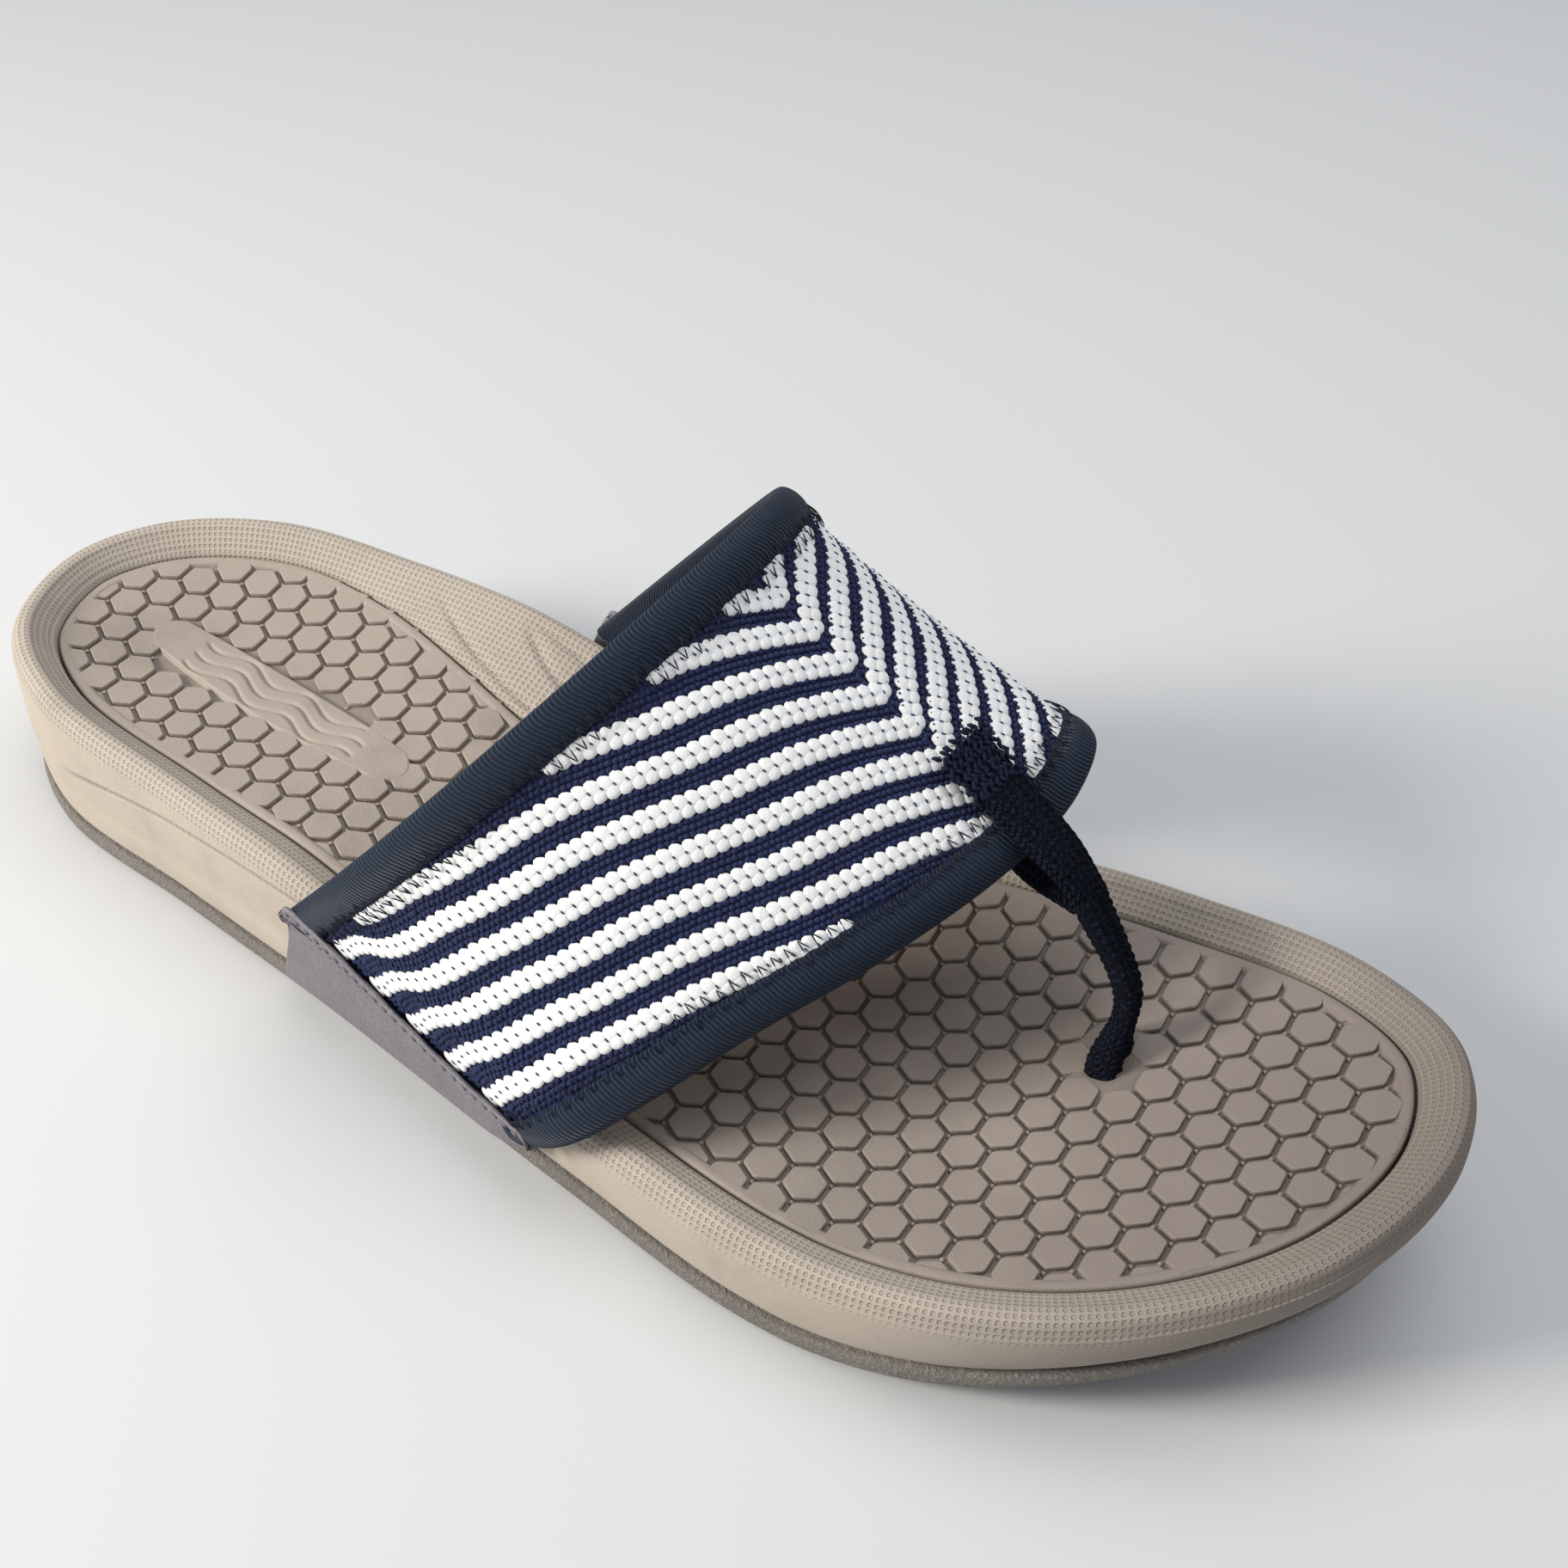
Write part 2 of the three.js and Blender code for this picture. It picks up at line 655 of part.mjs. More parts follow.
// One of the two ends that part where the post ends and run over and under the strap.
function makeTapeEnd(ride) {
  const offset = (Math.sign(ride) * (tapeEndThickness + 2 * clearance)) / 2;
  const rise = new THREE.CatmullRomCurve3(postRoute, false, "centripetal").getTangent(1);
  const away = strapAcross.clone().cross(rise).normalize();
  if (away.dot(strapUp) < 0) away.negate();
  const start = joinPoint.clone().addScaledVector(rise, 1.5 * clearance).addScaledVector(away, offset);
  const straight = start.clone().addScaledVector(rise, tapeEndThickness);
  return tape([
    start,
    straight,
    overStrap(-4, ride + Math.sign(ride) * crown),
    overStrap(0, ride + Math.sign(ride) * crown),
    overStrap(tapeWidth, ride),
    overStrap(tapeWidth + bartackLength, ride),
  ], strapAcross, postWidth, tapeEndThickness, 18);
}

function makeBartack() {
  const thickness = 0.8;
  const height = upperRide + tapeEndThickness / 2 + clearance + thickness / 2;
  const centre = overStrap(tapeWidth + bartackLength / 2 - 1, height);
  const pad = new THREE.BoxGeometry(bartackLength, postWidth + 1, thickness);
  const basis = new THREE.Matrix4().makeBasis(strapBack, strapAcross, strapBack.clone().cross(strapAcross));
  return pad.applyMatrix4(basis).translate(centre.x, centre.y, centre.z);
}

// ---------------------------------------------------------------- the sandal
const sandal = new THREE.Group();

function add(name, geometry, color, roughness) {
  const mesh = new THREE.Mesh(closed(geometry), material(color, roughness));
  mesh.name = name;
  sandal.add(mesh);
}

add("outsole", makeOutsole(), 0x6f6660, 0.85);
add("midsole", makeMidsole(), 0xcdb9a3, 0.75);
add("footbed_insert", makeInsert(), 0xa59484, 0.7);
add("lateral_tab", makeTab(-1), 0x6d6a72, 0.6);
add("medial_tab", makeTab(1), 0x6d6a72, 0.6);
add("strap_lining", makeLining(), 0xa5876e, 0.9);
add("strap_panel_lateral", makePanel(-1), 0xe9eaec, 0.9);
add("strap_panel_medial", makePanel(1), 0xdfe1e6, 0.9);
add("rear_binding", makeBinding(0), 0x2d3a50, 0.7);
add("front_binding", makeBinding(1), 0x2d3a50, 0.7);
add("toe_post", makePost(), 0x1a2038, 0.85);
add("post_tape_upper", makeTapeEnd(upperRide), 0x1a2038, 0.85);
add("post_tape_lower", makeTapeEnd(lowerRide), 0x1a2038, 0.85);
add("bartack", makeBartack(), 0x222a45, 0.85);
add("post_anchor", discAt(anchorRadius, anchorFoot, anchorTop), 0x2b2b2b, 0.6);
add("anchor_washer", discAt(washerRadius, anchorTop + clearance, washerTop), 0x8a8a8a, 0.4);

const box = new THREE.Box3().setFromObject(sandal);
sandal.position.set(-(box.min.x + box.max.x) / 2, -(box.min.y + box.max.y) / 2, -box.min.z);

export default sandal;
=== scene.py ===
# %% [markdown]
# # A toe-post sandal with a striped knit strap
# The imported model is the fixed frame: sixteen plain solids, each already in its place. This lesson
# builds the surfaces that show around that frame: foam with moulded pads, a chunky knit, folded
# tape, soft leather and a braided post. All sizes below are millimetres, and one scale takes them
# to Blender's metres at the very end of each piece.

# %% Load the frame
import math
import random

import bmesh
import bpy
import numpy as np
from mathutils import Matrix, Vector


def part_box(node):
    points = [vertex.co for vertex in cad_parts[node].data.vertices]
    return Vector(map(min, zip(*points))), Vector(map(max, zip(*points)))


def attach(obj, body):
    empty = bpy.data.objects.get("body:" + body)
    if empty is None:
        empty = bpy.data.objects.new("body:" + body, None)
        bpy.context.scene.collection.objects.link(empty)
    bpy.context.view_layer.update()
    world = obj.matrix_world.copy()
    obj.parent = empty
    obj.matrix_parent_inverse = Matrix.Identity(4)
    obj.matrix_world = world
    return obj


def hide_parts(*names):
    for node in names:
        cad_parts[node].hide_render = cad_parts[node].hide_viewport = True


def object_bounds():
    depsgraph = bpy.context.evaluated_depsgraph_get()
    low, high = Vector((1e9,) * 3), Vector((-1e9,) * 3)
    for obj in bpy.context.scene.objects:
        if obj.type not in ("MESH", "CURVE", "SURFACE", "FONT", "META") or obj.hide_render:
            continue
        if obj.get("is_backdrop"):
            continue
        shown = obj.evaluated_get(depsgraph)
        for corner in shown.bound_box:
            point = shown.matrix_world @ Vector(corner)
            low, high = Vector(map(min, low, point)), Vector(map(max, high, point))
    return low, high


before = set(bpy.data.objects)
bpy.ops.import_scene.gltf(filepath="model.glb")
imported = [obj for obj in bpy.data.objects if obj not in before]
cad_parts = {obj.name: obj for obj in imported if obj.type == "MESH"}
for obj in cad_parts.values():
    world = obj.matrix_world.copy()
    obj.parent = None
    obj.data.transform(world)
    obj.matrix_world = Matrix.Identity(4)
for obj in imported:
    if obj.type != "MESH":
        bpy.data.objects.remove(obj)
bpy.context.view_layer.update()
MM = 0.001
print("nodes in the frame:", len(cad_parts))

# %% [markdown]
# ## The camera
# The object is seen from its outer side and a little in front, from above, with a lens close to a
# normal one. The three directions below are the camera's own right, up and backward axes.

# %% Camera
camera = bpy.data.objects.new("camera", bpy.data.cameras.new("camera"))
bpy.context.scene.collection.objects.link(camera)
right = Vector((0.8510, 0.5240, 0.0273)).normalized()
forward = Vector((-0.3734, 0.6414, -0.6703)).normalized()
upward = right.cross(forward).normalized()
right = forward.cross(upward)
camera.matrix_world = Matrix.Translation((0.1372, -0.1873, 0.2552)) @ Matrix(
    (right, upward, -forward)
).transposed().to_4x4()
camera.data.sensor_width = 36
camera.data.lens = 44.1
camera.data.clip_start = 0.01
bpy.context.scene.camera = camera
print("camera at", [round(c, 4) for c in camera.location])

# %% [markdown]
# ## Numbers that flow through a material
# A procedural material is arithmetic on coordinates. Writing it node by node hides the arithmetic,
# so one small class wraps a socket and lets plain Python operators add the Math nodes.

# %% A number inside a material
class Flow:
    """A value on a node's output; arithmetic on it adds Math nodes to its finish."""

    def __init__(self, finish, socket):
        self.finish = finish
        self.socket = socket

    def math(self, operation, *values):
        return self.finish.add("ShaderNodeMath", {"operation": operation}, dict(enumerate(values)))

    def __add__(self, other):
        return self.math("ADD", self, other)

    def __radd__(self, other):
        return self.math("ADD", other, self)

    def __sub__(self, other):
        return self.math("SUBTRACT", self, other)

    def __rsub__(self, other):
        return self.math("SUBTRACT", other, self)

    def __mul__(self, other):
        return self.math("MULTIPLY", self, other)

    def __rmul__(self, other):
        return self.math("MULTIPLY", other, self)

    def wave(self, length):
        """A cosine of this value, from 0 to 1, that repeats every length."""
        return self.math("COSINE", self * (2 * math.pi / length)) * 0.5 + 0.5

    def above(self, level, softness):
        """0 below the level and 1 above it, with a soft step between."""
        settings = {"interpolation_type": "SMOOTHSTEP"}
        values = {0: self, 1: level - softness, 2: level + softness, 3: 0.0, 4: 1.0}
        return self.finish.add("ShaderNodeMapRange", settings, values)


# %% A finish is one material
class Finish:
    """A Principled material with short ways to add coordinates, noise, colour mixes and bumps."""

    def __init__(self, name, colour, roughness, **constants):
        self.material = bpy.data.materials.new(name)
        self.material.use_nodes = True
        self.tree = self.material.node_tree
        self.shader = self.tree.nodes["Principled BSDF"]
        self.put("Base Color", colour)
        self.put("Roughness", roughness)
        for socket, value in constants.items():
            self.put(socket.replace("_", " "), value)

    def feed(self, socket, value):
        if isinstance(value, Flow):
            self.tree.links.new(value.socket, socket)
        elif isinstance(value, tuple) and len(value) == 3 and len(socket.default_value) == 4:
            socket.default_value = (*value, 1.0)
        else:
            socket.default_value = value

    def put(self, name, value):
        self.feed(self.shader.inputs[name], value)

    def add(self, kind, settings=None, sockets=None, out=0):
        node = self.tree.nodes.new(kind)
        for name, value in (settings or {}).items():
            setattr(node, name, value)
        for key, value in (sockets or {}).items():
            self.feed(node.inputs[key], value)
        return Flow(self, node.outputs[out])

    def place(self):
        """Where the point lies on the object, in metres."""
        return self.add("ShaderNodeTexCoord", out=3)

    def sheet_place(self):
        """The two millimetre coordinates that follow the piece's own surface."""
        spot = self.add("ShaderNodeUVMap", {"uv_map": "sheet"})
        return [self.add("ShaderNodeSeparateXYZ", None, {0: spot}, out=k) for k in (0, 1)]

    def axis(self, k):
        """One of the point's three coordinates on the object, in metres."""
        return self.add("ShaderNodeSeparateXYZ", None, {0: self.place()}, out=k)

    def noise(self, scale, detail=3.0, roughness=0.5):
        sockets = {"Vector": self.place(), "Scale": scale, "Detail": detail,
                   "Roughness": roughness}
        return self.add("ShaderNodeTexNoise", None, sockets)

    def mix(self, share, first, second):
        sockets = {0: share, 6: first, 7: second}
        return self.add("ShaderNodeMix", {"data_type": "RGBA"}, sockets, out=2)

    def relief(self, height, depth):
        """A bump whose full step is depth metres."""
        bump = self.add("ShaderNodeBump", None, {"Height": height, "Distance": depth})
        self.put("Normal", bump)


print("the material kit is ready")

# %% [markdown]
# ## The plan of the sole
# Every moulded piece follows one outline. A centripetal Catmull-Rom spline through a few points is
# the smoothest simple way to draw it, and the solids in the frame were drawn with the same points.

# %% A smooth line through points
def unit(v):
    return v / np.linalg.norm(v, axis=-1, keepdims=True)


def travel(points):
    """The distance along a line at each of its points."""
    steps = np.linalg.norm(np.diff(points, axis=0), axis=1)
    return np.concatenate([[0], np.cumsum(steps)])


def through(points, closed, count):
    """Count + 1 points on a centripetal Catmull-Rom spline through the given ones."""
    knots = np.array(points, float)
    total = len(knots)
    spans = total if closed else total - 1
    made = []
    for step in range(count + 1):
        at = spans * step / count
        first = min(int(at), spans - 1)
        share = at - first
        if closed:
            a, b, c, d = (knots[(first + k) % total] for k in (-1, 0, 1, 2))
        else:
            b, c = knots[first], knots[first + 1]
            a = knots[first - 1] if first > 0 else 2 * b - c
            d = knots[first + 2] if first + 2 < total else 2 * c - b
        gaps = [max(np.linalg.norm(q - p), 1e-8) ** 0.5 for p, q in ((a, b), (b, c), (c, d))]
        out = ((b - a) / gaps[0] - (c - a) / (gaps[0] + gaps[1]) + (c - b) / gaps[1]) * gaps[1]
        come = ((c - b) / gaps[1] - (d - b) / (gaps[1] + gaps[2]) + (d - c) / gaps[2]) * gaps[1]
        made.append(
            b + out * share + (3 * (c - b) - 2 * out - come) * share**2
            + (2 * (b - c) + out + come) * share**3
        )
    return np.array(made)


def evenly(points, count):
    """The same line with count + 1 points spaced evenly along it."""
    travelled = travel(points)
    wanted = np.linspace(0, travelled[-1], count + 1)
    return np.stack([np.interp(wanted, travelled, axis) for axis in points.T], axis=1)


def smooth(t):
    t = np.clip(t, 0, 1)
    return t * t * (3 - 2 * t)


# %% The outline
LENGTH = 275.0
BALL_OUT, BALL_IN, HEEL_OUT, HEEL_IN = 51.3, 45.0, 33.5, 39.0


def between(a, b, t):
    return a + (b - a) * t


outline = through([
    (0, 3), (6, -0.52 * HEEL_OUT), (24, -0.86 * HEEL_OUT), (60, -HEEL_OUT),
    (101, -between(HEEL_OUT, BALL_OUT, 0.28)), (LENGTH - 122, -between(HEEL_OUT, BALL_OUT, 0.73)),
    (LENGTH - 83, -BALL_OUT), (LENGTH - 51, -0.92 * BALL_OUT), (LENGTH - 25, -0.67 * BALL_OUT),
    (LENGTH - 7, -0.3 * BALL_OUT), (LENGTH, 8), (LENGTH - 6, 0.64 * BALL_IN),
    (LENGTH - 25, 0.92 * BALL_IN), (LENGTH - 58, BALL_IN),
    (LENGTH - 108, between(HEEL_IN, BALL_IN, 0.62)), (105, between(HEEL_IN, BALL_IN, 0.2)),
    (60, HEEL_IN), (28, 0.86 * HEEL_IN), (8, 0.52 * HEEL_IN),
], True, 2280)[:-1]
back, tip = int(outline[:, 0].argmin()), int(outline[:, 0].argmax())
SIDE_STEPS = 340
outer_side = evenly(np.roll(outline, -back, axis=0)[: (tip - back) % len(outline) + 1], SIDE_STEPS)
inner_run = np.roll(outline[::-1], -(len(outline) - 1 - back), axis=0)
inner_side = evenly(inner_run[: (back - tip) % len(outline) + 1], SIDE_STEPS)
loop = np.concatenate([outer_side, inner_side[::-1][1:]])
along_loop = np.gradient(loop, axis=0)
along_loop[0] = along_loop[-1] = loop[1] - loop[-2]
along_loop = unit(along_loop)
inward = np.stack([-along_loop[:, 1], along_loop[:, 0]], axis=1)
loop_travel = travel(loop)
SHIFT = np.array([
    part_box("midsole")[0].x / MM - outline[:, 0].min(),
    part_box("midsole")[0].y / MM - outline[:, 1].min(),
    0.0,
])
print("outline", round(loop_travel[-1], 1), "mm round, frame shift", SHIFT.round(3))


def wall_y(x, side):
    """Where the wall stands at x, on the outer side (-1) or the inner side (1)."""
    run = outer_side if side < 0 else inner_side
    return np.interp(x, run[:, 0], run[:, 1])


# %% Heights over the plan
def ground(x):
    curl = np.clip((x - (LENGTH - 78)) / 78, 0, 1)
    bevel = np.clip((20 - x) / 20, 0, 1)
    return 20.5 * curl**1.5 + 2.5 * bevel**2


def footbed(x, y):
    wedge = smooth((x - 80) / 70)
    heel_cup = 6 * np.clip(1 - x / 70, 0, 1) ** 2
    fade = 1 - 0.6 * smooth((x - (LENGTH - 70)) / 70)
    side = y + 9
    cup = np.where(side > 0, 0.0033, 0.0015) * side * side * fade
    heel_lift = 2.5 * np.clip(1 - x / 20, 0, 1) ** 2
    return ground(x) - heel_lift + between(26, 14.5, wedge) + heel_cup + cup


def rim(x, y):
    return footbed(x, y) + between(3, 1.8, smooth(x / 110))


SOLE = 3.6           # thickness of the rubber
GAP = 0.3            # room between two neighbours
insert_margin = 8.2 + np.where(
    loop[:, 1] > 0, 15 * np.sin(math.pi * np.clip((loop[:, 0] - 34) / 166, 0, 1)) ** 2, 0
)
toe_tuck = 2.6 * smooth((loop[:, 0] - (LENGTH - 78)) / 78)
print("footbed height at heel and ball:", footbed(60, 0).round(1), footbed(200, 0).round(1))

# %% [markdown]
# ## Rows of a surface
# Soles, straps and tapes are all surfaces that run in rows. A grid operator gives the faces, each
# row of the grid is laid on its line, and the seam where the grid meets itself is welded. The
# grid's own flat map keeps true millimetres, so weaves and dimples follow the surface.

# %% Lay a grid on rows of points
def lay(rows, measure=None):
    """A bmesh whose grid of faces follows rows[j][i], with a millimetre map in its corners."""
    rows = np.asarray(rows, float)
    high, wide = rows.shape[:2]
    bm = bmesh.new()
    sheet = bm.loops.layers.uv.new("sheet")
    bmesh.ops.create_grid(bm, x_segments=wide - 1, y_segments=high - 1, size=0.5)
    if measure is None:
        across = np.linalg.norm(np.diff(rows, axis=1), axis=2)
        down = np.linalg.norm(np.diff(rows, axis=0), axis=2)
        u = np.concatenate([np.zeros((high, 1)), np.cumsum(across, axis=1)], axis=1)
        v = np.concatenate([np.zeros((1, wide)), np.cumsum(down, axis=0)], axis=0)
        measure = np.stack([u, v], axis=2)
    spot = {}
    for vert in bm.verts:
        i = round((vert.co.x + 0.5) * (wide - 1))
        j = round((vert.co.y + 0.5) * (high - 1))
        spot[vert.index] = (j, i)
        vert.co = rows[j, i]
    for face in bm.faces:
        for corner in face.loops:
            corner[sheet].uv = measure[spot[corner.vert.index]]
    return bm


def face_out(bm):
    bmesh.ops.recalc_face_normals(bm, faces=bm.faces)


def weld(bm, distance=2e-3):
    bmesh.ops.remove_doubles(bm, verts=bm.verts, dist=distance)
    bmesh.ops.dissolve_degenerate(bm, edges=bm.edges, dist=distance)
    face_out(bm)


def thicken(bm, spot, outward, thickness):
    """Gives an open skin a wall on its inner side; the face near the spot looks outward."""
    face_out(bm)
    spot = Vector(spot)
    face = min(bm.faces, key=lambda f: (f.calc_center_median() - spot).length)
    if face.normal.dot(Vector(outward)) < 0:
        bmesh.ops.reverse_faces(bm, faces=bm.faces[:])
    bmesh.ops.solidify(bm, geom=bm.faces[:], thickness=thickness)
    face_out(bm)
    return bm


def join(bm, part):
    """Adds another bmesh to this one and frees it."""
    carrier = bpy.data.meshes.new("carrier")
    part.to_mesh(carrier)
    part.free()
    bm.from_mesh(carrier)
    bpy.data.meshes.remove(carrier)


def finished(name, bm, finish, slot, *nodes, flat_above=None):
    """Turns a bmesh in millimetres into a piece that rides on the frame.

    Faces with flat_above corners or more stay flat, such as the tops of the pads.
    """
    offset = Vector(SHIFT)
    for vert in bm.verts:
        vert.co = (vert.co + offset) * MM
    for face in bm.faces:
        face.smooth = flat_above is None or len(face.verts) < flat_above
    mesh = bpy.data.meshes.new(name)
    bm.to_mesh(mesh)
    bm.free()
    mesh.materials.append(finish.material)
    piece = bpy.data.objects.new(name, mesh)
    bpy.context.scene.collection.objects.link(piece)
    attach(piece, "root")
    if nodes:
        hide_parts(*nodes)
    print(name, len(mesh.polygons), "faces")
    return piece


def blend_rows(knots, count):
    """Count + 1 rows that pass smoothly through a few knot rows."""
    weights = through(np.eye(len(knots)), False, 40 * len(knots))
    lengths = np.linalg.norm(np.diff(np.tensordot(weights, knots, 1), axis=0), axis=2).mean(axis=1)
    travelled = np.concatenate([[0], np.cumsum(lengths)])
    wanted = np.linspace(0, travelled[-1], count + 1)
    pick = np.stack([np.interp(wanted, travelled, column) for column in weights.T], axis=1)
    return np.tensordot(pick, knots, 1)


# %% Rings round the sole
def ring(inset, height):
    """The outline moved inwards, at a height that may depend on x and y."""
    flat = loop + inward * np.broadcast_to(inset, len(loop))[:, None]
    return np.column_stack([flat, height(flat[:, 0], flat[:, 1])])


def lowered(surface, drop):
    """The height of a surface, less a drop."""
    return lambda x, y: surface(x, y) - drop


middle = (loop + loop[::-1]) / 2
END = 26.0
spine_x = np.clip(middle[:, 0], END, LENGTH - END)
order = np.argsort(middle[: SIDE_STEPS + 1, 0])
spine_y = np.interp(spine_x, middle[order, 0], middle[order, 1])
spine = np.column_stack([spine_x, spine_y])


def to_spine(start, height, count):
    """Rings that close from a ring to the middle line of the sole, which seals the surface."""
    made = []
    for step in range(1, count + 1):
        flat = between(start[:, :2], spine, step / count)
        made.append(np.column_stack([flat, height(flat[:, 0], flat[:, 1])]))
    return made


def round_measure(rows, first):
    """A flat map for rings: distance round the loop, and distance across counted from a row."""
    across = np.linalg.norm(np.diff(rows, axis=0), axis=2)
    v = np.concatenate([np.zeros((1, len(loop))), np.cumsum(across, axis=0)])
    v = v - v[first]
    return np.stack([np.broadcast_to(loop_travel, v.shape), v], axis=2)


print("rings have", len(loop), "points")

# %% [markdown]
# ## Finishes for the moulded parts
# The foam is matt and slightly uneven in colour, with a fine moulded grid of dimples on the rim
# and faint ribs on the wall. The dimples are far smaller than a millimetre, so they are relief in
# the material, while everything larger is modelled.

# %% Foam of the midsole
foam = Finish("midsole_foam", (0.5, 0.43, 0.35), 0.78, Specular_IOR_Level=0.35)
u, v = foam.sheet_place()
on_rim = v.above(-4.0, 1.5)
dimple = (u.wave(1.15) * v.wave(1.15)).above(0.4, 0.22) * on_rim
rib = (v + u * 0.35).wave(0.8) * (1 - on_rim)
cloud = foam.noise(28.0, 4.0)
grain = foam.noise(2600.0, 2.0)
soil = foam.noise(90.0, 5.0, 0.65).above(0.6, 0.16)
x, z = foam.axis(0), foam.axis(2)
tone = foam.mix(cloud, (0.5, 0.43, 0.355), (0.42, 0.362, 0.295))
tone = foam.mix(soil * 0.2, tone, (0.2, 0.168, 0.14))
# Painted shade: the foam is made darker towards the toe, where less of the key light reaches, with a
# little wear there as well.
tone = foam.mix(x.above(0.1, 0.05) * 0.88, tone, (0.15, 0.122, 0.105))
# Painted shade: a dark line along the long groove in the wall, where the foam above the groove
# overhangs it.
run = x + 0.0405
off_line = z - (0.0233 - run * run * 1.36)
line = (1 - off_line.math("ABSOLUTE", off_line).above(0.0007, 0.0003)) * (1 - on_rim)
line = line * x.above(-0.104, 0.008) * (1 - x.above(-0.03, 0.006))
tone = foam.mix(line * 0.85, tone, (0.15, 0.128, 0.105))
# Painted shade: the colour is also made darker inside the rim's dimples.
foam.put("Base Color", foam.mix(dimple * 0.3, tone, (0.2, 0.175, 0.14)))
foam.put("Roughness", 0.7 + cloud * 0.16)
foam.relief(grain * 0.35 - dimple + rib * 0.25, 0.00022)

# %% Foam of the footbed pads
pad_foam = Finish("insert_foam", (0.36, 0.31, 0.26), 0.62, Specular_IOR_Level=0.4)
x = pad_foam.axis(0)
cloud = pad_foam.noise(22.0, 4.0)
worn = (pad_foam.noise(48.0, 4.0, 0.6) + x.above(0.03, 0.05) * 0.14).above(0.6, 0.12)
grain = pad_foam.noise(1900.0, 2.0)
u, v = pad_foam.sheet_place()
# Painted shade: the floor of the channels between the pads is made darker in colour.
channel = v.above(3.2, 0.6)
tone = pad_foam.mix(cloud, (0.385, 0.322, 0.268), (0.325, 0.272, 0.225))
# Painted shade: the footbed is made darker towards the toe, where less of the key light reaches,
# with a little wear there as well.
tone = pad_foam.mix(x.above(0.085, 0.07) * 0.9, tone, (0.158, 0.128, 0.112))
tone = pad_foam.mix(worn * 0.35, tone, (0.19, 0.155, 0.132))
pad_foam.put("Base Color", pad_foam.mix(channel * 0.4, tone, (0.105, 0.083, 0.07)))
pad_foam.put("Roughness", 0.5 + cloud * 0.2)
pad_foam.relief(grain, 0.00008)

# %% Rubber of the outsole
rubber = Finish("outsole_rubber", (0.2, 0.18, 0.16), 0.85)
grit = rubber.noise(1500.0, 3.0, 0.7)
cloud = rubber.noise(60.0, 4.0)
tone = rubber.mix(cloud, (0.225, 0.2, 0.175), (0.15, 0.135, 0.12))
rubber.put("Base Color", rubber.mix(grit.above(0.58, 0.08) * 0.6, tone, (0.34, 0.31, 0.265)))
rubber.relief(grit, 0.0007)
print("moulded finishes:", foam.material.name, pad_foam.material.name, rubber.material.name)

# %% [markdown]
# ## The outsole
# A thin rubber sheet under the foam, with a rounded lip and shallow grooves across it. It is one
# closed skin: from its middle line underneath, out and round the lip, and back over the top.

# %% Outsole
TREAD_PITCH, TREAD_DEPTH, TREAD_START, TREAD_END = 15, 1.4, 22, 197


def tread(x, y):
    """Ground height with the grooves sunk in, away from the edges."""
    half = TREAD_PITCH / 2
    off_groove = np.abs((x - TREAD_START - 5.5 + half) % TREAD_PITCH - half)
    inside = (x > TREAD_START) & (x < TREAD_END)
    from_edge = np.minimum(y - wall_y(x, -1), wall_y(x, 1) - y)
    groove = TREAD_DEPTH * smooth(2.2 - off_groove) * smooth((from_edge - 8) / 1.2)
    return ground(x) + np.where(inside, groove, 0)


def sole_top(x, y):
    return ground(x) + SOLE


under = ring(toe_tuck * 1.2 + 0.9, tread)
rows = to_spine(under, tread, 36)[::-1]
rows.append(under)
edge_knots = [
    ring(toe_tuck * 1.15 + 0.3, lambda x, y: ground(x) + 0.25),
    ring(toe_tuck * 1.1, lambda x, y: ground(x) + 0.9),
    ring(toe_tuck, lowered(sole_top, 0.9)),
    ring(toe_tuck + 0.25, lowered(sole_top, 0.25)),
    ring(toe_tuck + 0.9, sole_top),
]
rows += list(blend_rows(edge_knots, 9))
rows += to_spine(rows[-1], sole_top, 3)
bm = lay(rows)
weld(bm)
finished("rubber_outsole", bm, rubber, "outsole_rubber", "outsole")

# %% [markdown]
# ## The midsole
# The wedge is one foam moulding. Its wall swells outwards, rolls over into a rounded rim, and the
# rim falls gently to the pocket of the footbed. Lines cut in the wall and flowing lines at the
# arch are part of the mould, so they are sunk into the mesh itself.

# %% Lines cut into the foam
def near(points, lines):
    """Distance in plan from each point to the nearest of some smooth lines, and the place along."""
    path = np.concatenate([through(line, False, 120) for line in lines])
    nearest = np.array([((path - point) ** 2).sum(axis=1).argmin() for point in points])
    return np.linalg.norm(path[nearest] - points, axis=1), nearest % 121 / 120


ARCH_LINES = [
    [(66, 34), (79, 27), (92, 22.5), (108, 19.8), (128, 21.3), (148, 26.5), (166, 32.5)],
    [(86, 36), (94, 30.5), (104, 27), (119, 26), (137, 28), (156, 33)],
    [(86, 36), (99, 34.5), (113, 31), (127, 30.5), (144, 33), (158, 37)],
    [(110, 37.5), (123, 34.6), (135, 34.8), (146, 37)],
]
print("arch lines:", len(ARCH_LINES))

# %% Midsole
SHOULDER = 3.2       # radius of the rolled rim
POCKET = 4.2         # depth of the pocket for the insert


def foot(x, y):
    return ground(x) + SOLE + GAP


def wall_level(share, lift=0.0):
    return lambda x, y: between(foot(x, y), rim(x, y), share) + lift


def rim_fall(share, lift=0.0):
    """From the crest of the rim down to the pocket's edge."""
    return lambda x, y: between(rim(x, y), footbed(x, y) + GAP, share) + lift


